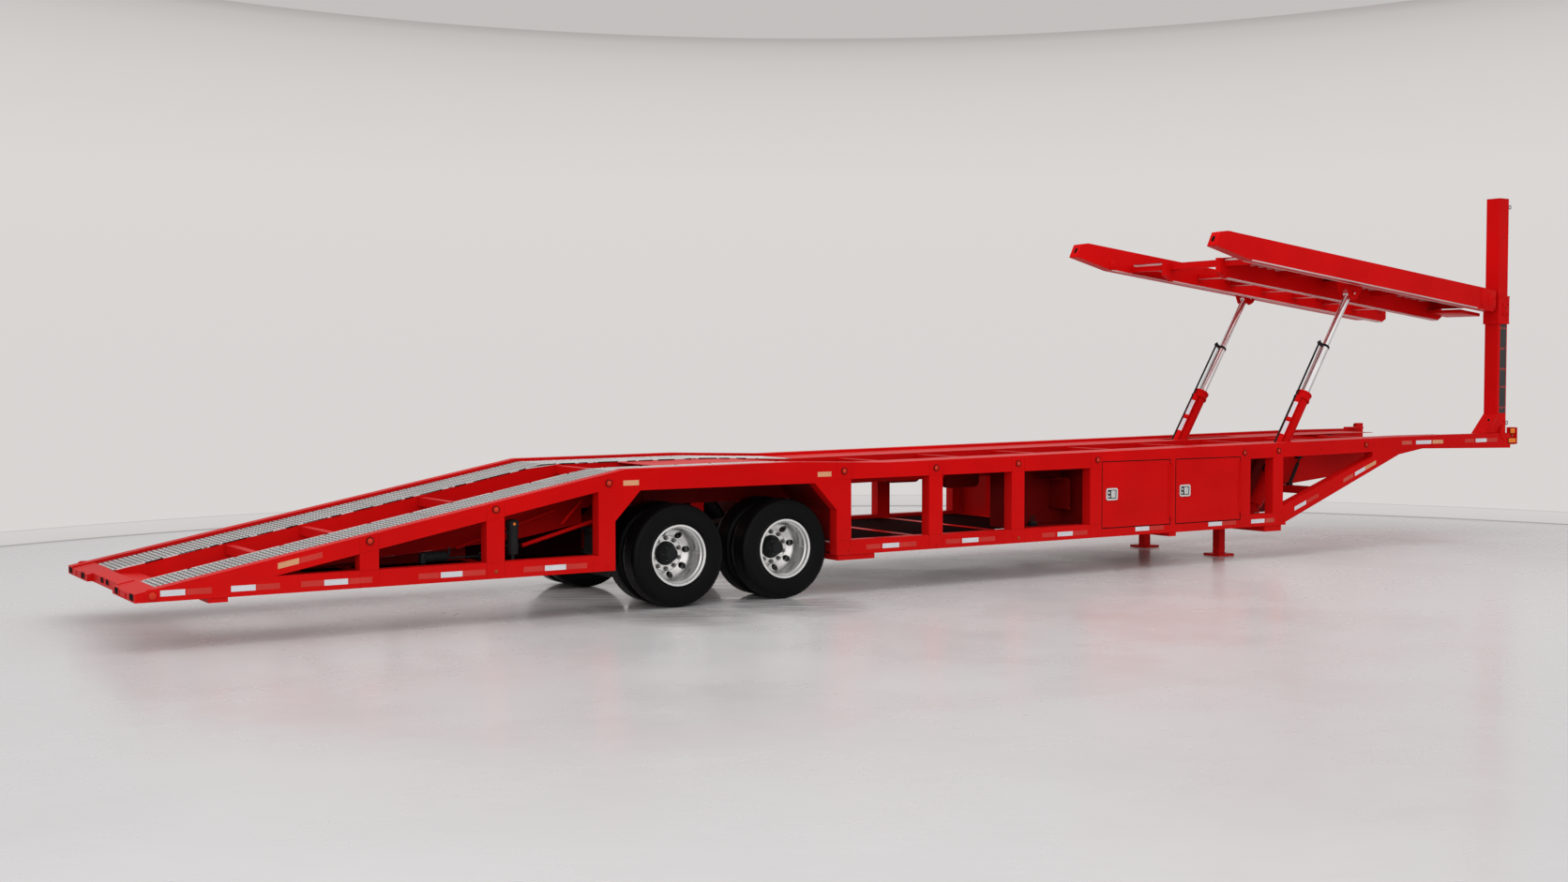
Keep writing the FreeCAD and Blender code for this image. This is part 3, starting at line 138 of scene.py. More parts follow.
class Graph:
    """A node tree that is being wired."""

    def __init__(self, tree: Tree) -> None:
        """Keep the tree.

        Args:
            tree: the tree to add nodes to.
        """
        self.tree = tree

    def add(self, kind: str, inputs: Optional[dict] = None, **settings: object) -> Node:
        """Add a node.

        Args:
            kind: the node's type.
            inputs: a value or an output socket for each input, by name or place.
            settings: properties of the node.

        Returns:
            The new node.
        """
        node = self.tree.nodes.new(kind)
        for name, value in settings.items():
            setattr(node, name, value)
        for key, value in (inputs or {}).items():
            if isinstance(value, Socket):
                self.tree.links.new(value, node.inputs[key])
            else:
                node.inputs[key].default_value = value
        return node

    def math(self, operation: str, *values: object, clamp: bool = False) -> Socket:
        """Add a Math node and give its output."""
        node = self.add("ShaderNodeMath", dict(enumerate(values)), operation=operation, use_clamp=clamp)
        return node.outputs[0]

    def ramp(self, factor: Socket, stops: Sequence[tuple[float, Colour]]) -> Socket:
        """Add a colour ramp and give its colour output."""
        node = self.add("ShaderNodeValToRGB", {"Fac": factor})
        while len(node.color_ramp.elements) < len(stops):
            node.color_ramp.elements.new(1.0)
        for element, (place, colour) in zip(node.color_ramp.elements, stops):
            element.position = place
            element.color = (*colour, 1.0)
        return node.outputs["Color"]

    def place(self) -> Socket:
        """Give the place on the piece, in Object coordinates."""
        return self.add("ShaderNodeTexCoord").outputs["Object"]

    def noise(self, place: Socket, scale: object, detail: float, **more: float) -> Socket:
        """Add a noise and give its height."""
        return self.add("ShaderNodeTexNoise", {"Vector": place, "Scale": scale, "Detail": detail,
                        **more}).outputs[0]

    def link(self, source: Socket, end: Socket) -> None:
        """Join two sockets."""
        self.tree.links.new(source, end)

    def mix(self, factor: object, a: object, b: object) -> Socket:
        """Mix two colours and give the result."""
        node = self.add("ShaderNodeMix", {0: factor, 6: a, 7: b}, data_type="RGBA")
        return node.outputs[2]


def shader_group(name: str, inputs: dict[str, tuple[str, object]],
                 outputs: dict[str, str]) -> tuple[Graph, dict, dict]:
    """Start a shader node group.

    Args:
        name: the group's name.
        inputs: socket type and default of each input.
        outputs: socket type of each output.

    Returns:
        The graph, the input sockets by name, and the output node's sockets by name.
    """
    tree = bpy.data.node_groups.new(name, "ShaderNodeTree")
    for label, (kind, default) in inputs.items():
        socket = tree.interface.new_socket(label, in_out="INPUT", socket_type=kind)
        socket.default_value = default
    for label, kind in outputs.items():
        tree.interface.new_socket(label, in_out="OUTPUT", socket_type=kind)
    graph = Graph(tree)
    start, end = graph.add("NodeGroupInput"), graph.add("NodeGroupOutput")
    return graph, {n: start.outputs[n] for n in inputs}, {n: end.inputs[n] for n in outputs}


class Effects:
    """Shader node groups that several finishes share."""

    FLOAT = "NodeSocketFloat"

    def __init__(self) -> None:
        """Build each group once."""
        self.grain = self._grain()
        self.edges = self._edges()
        self.dust = self._dust()

    def _grain(self) -> Tree:
        """Fine grain and broad cloudiness on Object coordinates."""
        graph, take, give = shader_group(
            "surface_grain",
            {"Fine": (self.FLOAT, 300.0), "Broad": (self.FLOAT, 1.5)},
            {"Height": self.FLOAT, "Cloud": self.FLOAT},
        )
        place = graph.place()
        fine = graph.noise(place, take["Fine"], 3.0)
        broad = graph.noise(place, take["Broad"], 4.0)
        graph.link(fine, give["Height"])
        graph.link(broad, give["Cloud"])
        return graph.tree

    def _edges(self) -> Tree:
        """Soften sharp edges, and mask where their paint thins."""
        graph, take, give = shader_group(
            "soft_edges",
            {"Radius": (self.FLOAT, 0.003), "Patch": (self.FLOAT, 18.0), "Amount": (self.FLOAT, 0.5)},
            {"Normal": "NodeSocketVector", "Worn": self.FLOAT},
        )
        bevel = graph.add("ShaderNodeBevel", {"Radius": take["Radius"]}, samples=4)
        flat = graph.add("ShaderNodeNewGeometry").outputs["True Normal"]
        dot = graph.add("ShaderNodeVectorMath", {0: bevel.outputs[0], 1: flat}, operation="DOT_PRODUCT")
        bend = graph.math("SUBTRACT", 1.0, dot.outputs["Value"])
        place = graph.place()
        patch = graph.noise(place, take["Patch"], 5.0)
        spot = graph.math("MULTIPLY_ADD", patch, 3.0, -1.55, clamp=True)
        edge = graph.math("MULTIPLY", bend, 7.0, clamp=True)
        worn = graph.math("MULTIPLY", graph.math("MULTIPLY", edge, spot), take["Amount"], clamp=True)
        graph.link(bevel.outputs[0], give["Normal"])
        graph.link(worn, give["Worn"])
        return graph.tree

    def _dust(self) -> Tree:
        """Thin dust that thickens towards the road and in patches."""
        graph, take, give = shader_group("road_dust", {"Reach": (self.FLOAT, 1.1),
                                         "Amount": (self.FLOAT, 0.15)}, {"Dusty": self.FLOAT})
        place = graph.place()
        tall = graph.add("ShaderNodeSeparateXYZ", {0: place}).outputs["Z"]
        low = graph.math("SUBTRACT", 1.0, graph.math("DIVIDE", tall, take["Reach"]), clamp=True)
        patch = graph.noise(place, 4.0, 6.0, Roughness=0.65)
        patchy = graph.math("MULTIPLY", low, patch)
        graph.link(graph.math("MULTIPLY", patchy, take["Amount"], clamp=True), give["Dusty"])
        return graph.tree


# ---- Finishes ----

class Finish:
    """A material under construction: one Principled shader and the graph behind it."""

    def __init__(self, name: str, **plain: object) -> None:
        """Start a material.

        Args:
            name: the material's name.
            plain: values set on the shader's own sockets; an underscore stands for a space.
        """
        self.material = bpy.data.materials.new(name)
        self.material.use_nodes = True
        self.graph = Graph(self.material.node_tree)
        self.shader = self.material.node_tree.nodes["Principled BSDF"]
        for key, value in plain.items():
            self.shader.inputs[key.replace("_", " ")].default_value = value

    def group(self, tree: Tree, **values: float) -> Node:
        """Place a shared group with its own values."""
        return self.graph.add("ShaderNodeGroup", values, node_tree=tree)

    def feed(self, socket: str, source: Socket) -> None:
        """Link a source to one of the shader's sockets."""
        self.graph.link(source, self.shader.inputs[socket])

    def bump(self, height: Socket, distance: float, strength: float = 1.0,
             normal: Optional[Socket] = None) -> None:
        """Put a height on the surface through a Bump node."""
        node = self.graph.add("ShaderNodeBump", {"Height": height, "Distance": distance,
                              "Strength": strength})
        if normal is not None:
            self.graph.link(normal, node.inputs["Normal"])
        self.feed("Normal", node.outputs[0])


@dataclass(frozen=True)
class PaintedSteel:
    """Sprayed enamel over steel plate."""

    name: str
    colour: Colour
    worn: Colour = (0.09, 0.055, 0.05)
    roughness: float = 0.34
    shine: float = 0.022
    coat: float = 0.0
    wear: float = 0.35
    dust: float = 0.05
    edge: float = 0.004
    peel: float = 0.00004

    def make(self, effects: Effects) -> Material:
        """Build the material."""
        look = Finish(self.name, Coat_Weight=self.coat, Coat_Roughness=0.12, Specular_IOR_Level=self.shine)
        grain = look.group(effects.grain, Fine=140.0, Broad=1.1)
        edges = look.group(effects.edges, Radius=self.edge, Patch=16.0, Amount=self.wear)
        dust = look.group(effects.dust, Reach=1.3, Amount=self.dust)
        dark = tuple(0.9 * c for c in self.colour)
        bright = tuple(1.08 * c for c in self.colour)
        paint = look.graph.ramp(grain.outputs["Cloud"], [(0.3, dark), (0.7, bright)])
        dusty = look.graph.mix(dust.outputs["Dusty"], paint, (0.3, 0.19, 0.16, 1.0))
        look.feed("Base Color", look.graph.mix(edges.outputs["Worn"], dusty, (*self.worn, 1.0)))
        rough = look.graph.math("MULTIPLY_ADD", grain.outputs["Cloud"], 0.1, self.roughness - 0.05)
        look.feed("Roughness", look.graph.math("MULTIPLY_ADD", dust.outputs["Dusty"], 0.8, rough,
                  clamp=True))
        look.bump(grain.outputs["Height"], self.peel, 0.6, edges.outputs["Normal"])
        return look.material


@dataclass(frozen=True)
class BareMetal:
    """Unpainted metal, polished, brushed or rolled."""

    name: str
    colour: Colour
    roughness: float
    spread: float = 0.12
    fine: float = 220.0
    depth: float = 0.00003
    edge: float = 0.002
    dust: float = 0.1
    metallic: float = 1.0

    def make(self, effects: Effects) -> Material:
        """Build the material."""
        look = Finish(self.name, Metallic=self.metallic)
        grain = look.group(effects.grain, Fine=self.fine, Broad=3.0)
        edges = look.group(effects.edges, Radius=self.edge, Patch=30.0, Amount=0.0)
        dust = look.group(effects.dust, Reach=0.9, Amount=self.dust)
        dull = tuple(0.82 * c for c in self.colour)
        tone = look.graph.ramp(grain.outputs["Cloud"], [(0.3, dull), (0.7, self.colour)])
        look.feed("Base Color", look.graph.mix(dust.outputs["Dusty"], tone, (0.2, 0.18, 0.16, 1.0)))
        rough = look.graph.math("MULTIPLY_ADD", grain.outputs["Cloud"], self.spread,
                                self.roughness - self.spread / 2)
        look.feed("Roughness", rough)
        look.bump(grain.outputs["Height"], self.depth, 0.5, edges.outputs["Normal"])
        return look.material


@dataclass(frozen=True)
class DarkSolid:
    """Rubber or black-coated steel."""

    name: str
    colour: Colour
    roughness: float
    dust: float = 0.5
    shine: float = 0.07
    fine: float = 260.0
    depth: float = 0.0002
    bleach: Colour = (0.1, 0.095, 0.09)

    def make(self, effects: Effects) -> Material:
        """Build the material."""
        look = Finish(self.name, Specular_IOR_Level=self.shine)
        grain = look.group(effects.grain, Fine=self.fine, Broad=2.4)
        dust = look.group(effects.dust, Reach=1.6, Amount=self.dust)
        lifted = tuple(1.5 * c for c in self.colour)
        tone = look.graph.ramp(grain.outputs["Cloud"], [(0.3, self.colour), (0.75, lifted)])
        look.feed("Base Color", look.graph.mix(dust.outputs["Dusty"], tone, (*self.bleach, 1.0)))
        look.feed("Roughness", look.graph.math(
            "MULTIPLY_ADD", grain.outputs["Cloud"], 0.16, self.roughness - 0.08, clamp=True))
        look.bump(grain.outputs["Height"], self.depth, 0.5)
        return look.material


@dataclass(frozen=True)
class PrismTape:
    """Retro-reflective tape with its honeycomb of sealed cells."""

    name: str
    colour: Colour
    cell: float = 0.006

    def make(self, effects: Effects) -> Material:
        """Build the material."""
        look = Finish(self.name, Coat_Weight=0.03, Coat_Roughness=0.08, Specular_IOR_Level=0.08)
        grain = look.group(effects.grain, Fine=90.0, Broad=6.0)
        place = look.graph.place()
        cells = look.graph.add("ShaderNodeTexVoronoi", {"Vector": place, "Scale": 1.0 / self.cell,
                               "Randomness": 0.15}, feature="DISTANCE_TO_EDGE")
        wall = look.graph.math("GREATER_THAN", cells.outputs["Distance"], 0.09)
        pale = tuple(0.86 * c for c in self.colour)
        tone = look.graph.ramp(grain.outputs["Cloud"], [(0.35, pale), (0.65, self.colour)])
        look.feed("Base Color", look.graph.mix(wall, (*(0.72 * c for c in self.colour), 1.0), tone))
        look.feed("Roughness", look.graph.math("MULTIPLY_ADD", cells.outputs["Distance"], 0.3, 0.25,
                  clamp=True))
        look.bump(cells.outputs["Distance"], 0.0003, 0.5)
        return look.material


@dataclass(frozen=True)
class LampLens:
    """Moulded lens with fine ribs and a little depth of colour."""

    name: str
    colour: Colour
    glow: float = 0.25

    def make(self, effects: Effects) -> Material:
        """Build the material."""
        look = Finish(self.name, Coat_Weight=0.06, Coat_Roughness=0.08, Specular_IOR_Level=0.12,
                      Emission_Strength=self.glow)
        grain = look.group(effects.grain, Fine=60.0, Broad=14.0)
        place = look.graph.place()
        ribs = look.graph.add("ShaderNodeTexWave", {"Vector": place, "Scale": 90.0}, bands_direction="Z")
        deep = tuple(0.7 * c for c in self.colour)
        tone = look.graph.ramp(ribs.outputs["Fac"], [(0.2, deep), (0.8, self.colour)])
        cloudy = look.graph.mix(grain.outputs["Cloud"], tone, (*self.colour, 1.0))
        look.feed("Base Color", cloudy)
        look.feed("Emission Color", tone)
        look.feed("Roughness", look.graph.math("MULTIPLY_ADD", grain.outputs["Cloud"], 0.1, 0.12))
        look.bump(ribs.outputs["Fac"], 0.0006, 0.5)
        return look.material


@dataclass(frozen=True)
class RackStrip:
    """Dark primed strip with the red of the post rubbed on it at each catch."""

    name: str
    rubbed_and_highlight: tuple[float, ...]
    colour: Colour = (0.024, 0.028, 0.027)
    paint: Colour = (0.4, 0.01, 0.008)

    def make(self, effects: Effects) -> Material:
        """Build the material."""
        look = Finish(self.name)
        graph = look.graph
        grain = look.group(effects.grain, Fine=120.0, Broad=9.0)
        place = graph.place()
        tall = graph.add("ShaderNodeSeparateXYZ", {0: place}).outputs["Z"]
        near = None
        for height in self.rubbed_and_highlight:
            gap = graph.math("ABSOLUTE", graph.math("SUBTRACT", tall, height))
            spot = graph.math("SUBTRACT", 1.0, graph.math("DIVIDE", gap, 0.07), clamp=True)
            near = spot if near is None else graph.math("MAXIMUM", near, spot)
        speckle = graph.noise(place, 42.0, 4.0)
        patch = graph.math("MULTIPLY_ADD", graph.math("MULTIPLY", near, speckle), 9.0, -3.6, clamp=True)
        dark = graph.ramp(grain.outputs["Cloud"], [(0.3, tuple(0.7 * c for c in self.colour)),
                          (0.7, self.colour)])
        look.feed("Base Color", graph.mix(patch, dark, (*self.paint, 1.0)))
        look.feed("Roughness", graph.math("MULTIPLY_ADD", grain.outputs["Cloud"], 0.2, 0.42))
        look.bump(grain.outputs["Height"], 0.0003, 0.6)
        return look.material


@dataclass
class Palette:
    """Every finish of the trailer, built once."""

    effects: Effects
    enamel: Colour = (0.57, 0.0034, 0.0036)

    def __post_init__(self) -> None:
        """Make the materials."""
        red = self.enamel
        finishes = {
            "red": PaintedSteel("red_enamel", red),
            "weld": PaintedSteel("red_enamel_on_weld", tuple(0.8 * c for c in red), roughness=0.42,
                edge=0.001, wear=0.1),
            # A darker copy of the red enamel: painted shade inside the valve bay and on the sheets seen
            # through the windows
            "shaded": PaintedSteel("red_enamel_shaded", (0.15, 0.002, 0.0022), shine=0.02, wear=0.1),
            "black": PaintedSteel("black_chassis_paint", (0.014, 0.014, 0.015), worn=(0.12, 0.1, 0.09),
                roughness=0.48, dust=0.4),
            # Far darker than the lugs: partly scuffing, partly painted shade between the lugs
            "plate": BareMetal("scuffed_aluminium", (0.3, 0.29, 0.28), 0.46, fine=45.0, depth=0.0006,
                dust=0.1),
            "tread": BareMetal("mill_aluminium", (0.9, 0.88, 0.87), 0.34, fine=160.0, dust=0.0,
                metallic=0.5),
            # Pale strips under the deck's beams and ribs: painted highlights along their lower edges
            "rubbed_and_highlight": BareMetal("painted_edge_highlight", (0.88, 0.78, 0.78), 0.45, fine=160.0, dust=0.0),
            "wheel": BareMetal("polished_wheel", (0.9, 0.9, 0.89), 0.24, spread=0.04, depth=0.000003,
                dust=0.0, metallic=0.8),
            "chrome": BareMetal("hard_chrome", (0.94, 0.94, 0.95), 0.17, spread=0.04, depth=0.000001,
                dust=0.0, metallic=0.93),
            "steel": BareMetal("turned_steel", (0.36, 0.35, 0.34), 0.36),
            "latch": BareMetal("cast_latch", (0.97, 0.97, 0.97), 0.5, fine=90.0, dust=0.0),
            "tyre": DarkSolid("tyre_rubber", (0.0026, 0.0026, 0.0028), 0.29, dust=0.02, shine=0.075,
                depth=0.0001),
            "nut": BareMetal("dark_nut", (0.2, 0.2, 0.2), 0.34),
            "grommet": DarkSolid("lamp_grommet", (0.05, 0.004, 0.004), 0.6, dust=0.0),
            "rubber": DarkSolid("flap_rubber", (0.012, 0.012, 0.012), 0.7),
            # Near-black for the joints between tread plates and the door seals, and painted shade inside holes
            # and openings
            "void": DarkSolid("shadowed_hole", (0.004, 0.004, 0.004), 0.85, dust=0.0),
            # Near-black red: painted shade for the pan and panels seen through the windows
            "gloom": DarkSolid("unlit_steel_painted_shade", (0.01, 0.0012, 0.0012), 0.9, dust=0.0, shine=0.01),
            "casing": DarkSolid("black_casing", (0.01, 0.011, 0.012), 0.38, dust=0.2, depth=0.0001),
            "white_tape": PrismTape("white_tape", (0.72, 0.73, 0.76)),
            "red_tape": PrismTape("red_tape", (0.63, 0.045, 0.035)),
            "amber_tape": PrismTape("amber_tape", (0.74, 0.36, 0.19)),
            "faded_tape": PrismTape("faded_tape", (0.62, 0.1, 0.07)),
            "red_lens": LampLens("red_lens", (0.62, 0.034, 0.013), 0.06),
            "amber_lens": LampLens("amber_lens", (0.8, 0.2, 0.02), 0.1),
            "dot_lens": LampLens("dot_lens", (0.34, 0.07, 0.012), 0.0),
            "brown_lens": LampLens("brown_lens", (0.3, 0.08, 0.02), 0.05),
        }
        for name, finish in finishes.items():
            setattr(self, name, finish.make(self.effects))


# ---- Mesh making ----

AXES = {"x": Matrix(((0, 0, 1, 0), (1, 0, 0, 0), (0, 1, 0, 0), (0, 0, 0, 1))),
        "y": Matrix(((1, 0, 0, 0), (0, 0, 1, 0), (0, 1, 0, 0), (0, 0, 0, 1))), "z": Matrix.Identity(4)}


class Shape:
    """A mesh that grows solid by solid; each solid may have its own material."""

    SUNK = 0.001

    def __init__(self) -> None:
        """Start empty."""
        self.bm = bmesh.new()
        self.paint = 0

    def _solid(self, points: Iterable[Sequence[float]], faces: Iterable[Sequence[int]], bevel: float,
               place: Optional[Matrix], steps: int = 2) -> None:
        """Add one closed solid.

        Args:
            points: its corners.
            faces: corner numbers of each face.
            bevel: width of its rounded edges, or 0.
            place: where it is put, or None.
            steps: segments across a rounded edge.
        """
        one = bmesh.new()
        corners = [one.verts.new(place @ Vector(p) if place else Vector(p)) for p in points]
        for face in faces:
            one.faces.new([corners[i] for i in face])
        bmesh.ops.remove_doubles(one, verts=one.verts, dist=1e-6)
        bmesh.ops.recalc_face_normals(one, faces=one.faces)
        if bevel > 0:
            sharp = [e for e in one.edges if len(e.link_faces) == 2 and e.calc_face_angle(0.0) > 0.6]
            bmesh.ops.bevel(one, geom=sharp, offset=bevel, segments=steps, profile=0.5, affect="EDGES",
                            clamp_overlap=True)
        for face in one.faces:
            face.material_index = self.paint
        part = bpy.data.meshes.new("part")
        one.to_mesh(part)
        one.free()
        self.bm.from_mesh(part)
        bpy.data.meshes.remove(part)

    def box(self, low: Sequence[float], high: Sequence[float], bevel: float = 0.0,
            place: Optional[Matrix] = None) -> "Shape":
        """Add a box between two corners."""
        (a, b, c), (d, e, f) = low, high
        points = [(x, y, z) for x in (a, d) for y in (b, e) for z in (c, f)]
        faces = [(0, 1, 3, 2), (4, 6, 7, 5), (0, 4, 5, 1), (2, 3, 7, 6), (0, 2, 6, 4), (1, 5, 7, 3)]
        self._solid(points, faces, bevel, place)
        return self

    def prism(self, outline: Sequence[Flat], axis: str, low: float, high: float, bevel: float = 0.0,
              place: Optional[Matrix] = None) -> "Shape":
        """Add an outline drawn out along an axis.

        Args:
            outline: corners in the plane across the axis, (y, z) for x, (x, z) for y and (x, y) for z.
            axis: "x", "y" or "z".
            low: where it starts on the axis.
            high: where it ends.
            bevel: width of its rounded edges.
            place: where it is put afterwards.

        Returns:
            The shape itself.
        """
        count = len(outline)
        turn = AXES[axis]
        points = [turn @ Vector((a, b, w)) for w in (low, high) for a, b in outline]
        faces = [tuple(range(count)), tuple(range(count, 2 * count))]
        faces += [(i, (i + 1) % count, count + (i + 1) % count, count + i) for i in range(count)]
        self._solid(points, faces, bevel, place)
        return self

    def skin(self, outline: Sequence[Flat], face: float, out: float, bevel: float = 0.0) -> "Shape":
        """Add a plate that stands out from a right-hand face and is sunk into it a little."""
        return self.prism(outline, "y", face - out, face + self.SUNK, bevel)

    def lathe(self, outline: Sequence[Flat], centre: Sequence[float], axis: str = "y", steps: int = 48,
              pull: Optional[Callable[[int, int], float]] = None,
              place: Optional[Matrix] = None) -> "Shape":
        """Turn an outline of (along, radius) corners about an axis.

        An outline with both ends on the axis stays open there, any other is joined into a ring.

        Args:
            outline: corners, in order.
            centre: a point on the axis, where along is 0.
            axis: "x", "y" or "z".
            steps: segments round the axis.
            pull: how far inwards corner j of segment i moves.
            place: where it is put afterwards.

        Returns:
            The shape itself.
        """
        turn = Matrix.Translation(Vector(centre)) @ AXES[axis]
        count = len(outline)
        points, faces = [], []
        for i in range(steps):
            angle = tau * i / steps
            for j, (along, radius) in enumerate(outline):
                radius = max(0.0, radius - (pull(i, j) if pull else 0.0))
                points.append(turn @ Vector((radius * cos(angle), radius * sin(angle), along)))
        last = count - 1 if outline[0][1] == outline[-1][1] == 0.0 else count
        for i in range(steps):
            k = (i + 1) % steps
            for j in range(last):
                m = (j + 1) % count
                corners = [i * count + j, i * count + m, k * count + m, k * count + j]
                if outline[j][1] <= 1e-9:
                    corners = corners[:3]
                elif outline[m][1] <= 1e-9:
                    corners = [corners[0], corners[1], corners[3]]
                faces.append(corners)
        self._solid(points, faces, 0.0, place)
        return self

    def rod(self, start: Sequence[float], end: Sequence[float], radius: float, steps: int = 20,
            bevel: float = 0.0) -> "Shape":
        """Add a round bar between two points, its rims rounded by bevel."""
        start, end = Vector(start), Vector(end)
        along = end - start
        turn = along.to_track_quat("Z", "Y").to_matrix().to_4x4()
        place = Matrix.Translation(start) @ turn
        edge = min(bevel, radius * 0.5)
        outline = [(0.0, 0.0), (0.0, radius - edge), (edge, radius), (along.length - edge, radius),
                   (along.length, radius - edge), (along.length, 0.0)]
        return self.lathe(outline, (0, 0, 0), "z", steps, place=place)

    def hose(self, path: Sequence[Sequence[float]], radius: float, steps: int = 14,
             rounds: int = 6) -> "Shape":
        """Add a bent bar along smooth path points."""
        points = smooth_path([Vector(p) for p in path], rounds)
        rings, faces = [], []
        side = None
        for i, point in enumerate(points):
            ahead = (points[min(i + 1, len(points) - 1)] - points[max(i - 1, 0)]).normalized()
            if side is None:
                side = ahead.orthogonal().normalized()
            side = (side - ahead * side.dot(ahead)).normalized()
            other = ahead.cross(side)
            for k in range(steps):
                angle = tau * k / steps
                rings.append(point + radius * (side * cos(angle) + other * sin(angle)))
        for i in range(len(points) - 1):
            for k in range(steps):
                m = (k + 1) % steps
                faces.append((i * steps + k, i * steps + m, (i + 1) * steps + m, (i + 1) * steps + k))
        faces.append(tuple(range(steps)))
        faces.append(tuple(len(rings) - steps + k for k in range(steps)))
        self._solid(rings, faces, 0.0, None)
        return self

    def loop(self, points: Sequence[Vector], radius: float, steps: int = 10) -> "Shape":
        """Add a closed ring of round bar through flat points."""
        count = len(points)
        middle = sum(points, Vector()) / count
        normal = (points[0] - middle).cross(points[1] - middle).normalized()
        rings, faces = [], []
        for point in points:
            out = (point - middle).normalized()
            rings += [point + radius * (out * cos(a) + normal * sin(a))
                      for a in (tau * k / steps for k in range(steps))]
        for i in range(count):
            j = (i + 1) % count
            for k in range(steps):
                m = (k + 1) % steps
                faces.append((i * steps + k, i * steps + m, j * steps + m, j * steps + k))
        self._solid(rings, faces, 0.0, None)
        return self

    def mirrored(self) -> "Shape":
        """Add the left-hand twin of everything so far."""
        twin = self.bm.copy()
        bmesh.ops.scale(twin, vec=(1, -1, 1), verts=twin.verts)
        bmesh.ops.reverse_faces(twin, faces=twin.faces)
        part = bpy.data.meshes.new("part")
        twin.to_mesh(part)
        twin.free()
        self.bm.from_mesh(part)
        bpy.data.meshes.remove(part)
        return self

    def flipped(self, side: Side) -> "Shape":
        """Move a right-hand shape to the given side."""
        if side is Side.LEFT:
            bmesh.ops.scale(self.bm, vec=(1, -1, 1), verts=self.bm.verts)
            bmesh.ops.reverse_faces(self.bm, faces=self.bm.faces)
        return self

    def mesh(self, name: str) -> Mesh:
        """Give the finished mesh and let go of the working one."""
        made = bpy.data.meshes.new(name)
        self.bm.to_mesh(made)
        self.bm.free()
        return made


def smooth_path(points: Sequence[Vector], rounds: int) -> list[Vector]:
    """Points of an even curve through the given ones.

    Args:
        points: points that the curve goes through.
        rounds: points added in each stretch.

    Returns:
        The points of the curve.
    """
    ends = [points[0] * 2 - points[1], *points, points[-1] * 2 - points[-2]]
    curve = []
    for a, b, c, d in zip(ends, ends[1:], ends[2:], ends[3:]):
        for k in range(rounds):
            t = k / rounds
            curve.append(0.5 * (2 * b + (c - a) * t + (2 * a - 5 * b + 4 * c - d) * t * t
                                + (3 * b - a - 3 * c + d) * t ** 3))
    return [*curve, points[-1]]


def circle(centre: Flat, radius: float, steps: int = 24, start: float = 0.0,
           sweep: float = tau) -> list[Flat]:
    """Corners of a circle or, with a smaller sweep, of an arc with both its ends."""
    count = steps if sweep >= tau else steps + 1
    return [(centre[0] + radius * cos(start + sweep * i / steps),
            centre[1] + radius * sin(start + sweep * i / steps)) for i in range(count)]


def rounded(low: Flat, high: Flat, radius: float, steps: int = 4, grow: float = 0.0) -> list[Flat]:
    """Corners of a rectangle with rounded corners, made larger all round by grow."""
    low, high = (low[0] - grow, low[1] - grow), (high[0] + grow, high[1] + grow)
    corners = []
    for centre, start in (((high[0] - radius, high[1] - radius), 0.0),
                          ((low[0] + radius, high[1] - radius), 0.25),
                          ((low[0] + radius, low[1] + radius), 0.5),
                          ((high[0] - radius, low[1] + radius), 0.75)):
        corners += circle(centre, radius, steps, start * tau, tau / 4)
    return corners


def ring_between(shape: Shape, outer: Sequence[Flat], inner: Sequence[Flat], axis: str, low: float,
                 high: float, place: Optional[Matrix] = None) -> Shape:
    """Add a flat frame: outer and inner outlines with equal counts of corners, drawn out along an axis."""
    count = len(outer)
    turn = AXES[axis]
    points = [turn @ Vector((a, b, w)) for w in (low, high) for line in (outer, inner) for a, b in line]
    faces = []
    for i in range(count):
        k = (i + 1) % count
        faces += [(i, k, count + k, count + i), (2 * count + i, 2 * count + k, 3 * count + k,
                  3 * count + i), (i, k, 2 * count + k, 2 * count + i),
                  (count + i, count + k, 3 * count + k, 3 * count + i)]
    shape._solid(points, faces, 0.0, place)
    return shape


@dataclass
class Workshop:
    """Turns meshes into pieces that ride on a body."""

    palette: Palette
    made: int = 0

    def put(self, name: str, made: Union[Shape, Mesh], *materials: Material,
            body: Union[Body, str] = Body.CHASSIS, slot: Slot = Slot.RED, replaces: Sequence[str] = (),
            angle: float = 35.0) -> None:
        """Finish a piece: materials, shading, body and the CAD nodes that it stands for.

        Args:
            name: the piece's name.
            made: its shape or mesh, in the row frame.
            materials: its materials, in the order of its faces' numbers.
            body: the body that it rides on.
            slot: a material slot; not used.
            replaces: CAD nodes that it stands for.
            angle: edges sharper than this, in degrees, stay sharp.
        """
        mesh = made.mesh(name) if isinstance(made, Shape) else made
        if not mesh.materials:
            for material in materials:
                mesh.materials.append(material)
        mesh.shade_smooth()
        mesh.set_sharp_from_angle(angle=radians(angle))
        obj = bpy.data.objects.new(name, mesh)
        bpy.context.scene.collection.objects.link(obj)
        ridden = body.value if isinstance(body, Body) else body
        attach(obj, ridden)
        if replaces:
            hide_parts(*replaces)
        self.made += 1
        log.info("%s on %s: %d faces", name, ridden, len(mesh.polygons))


# ---- Geometry node trees for what repeats ----

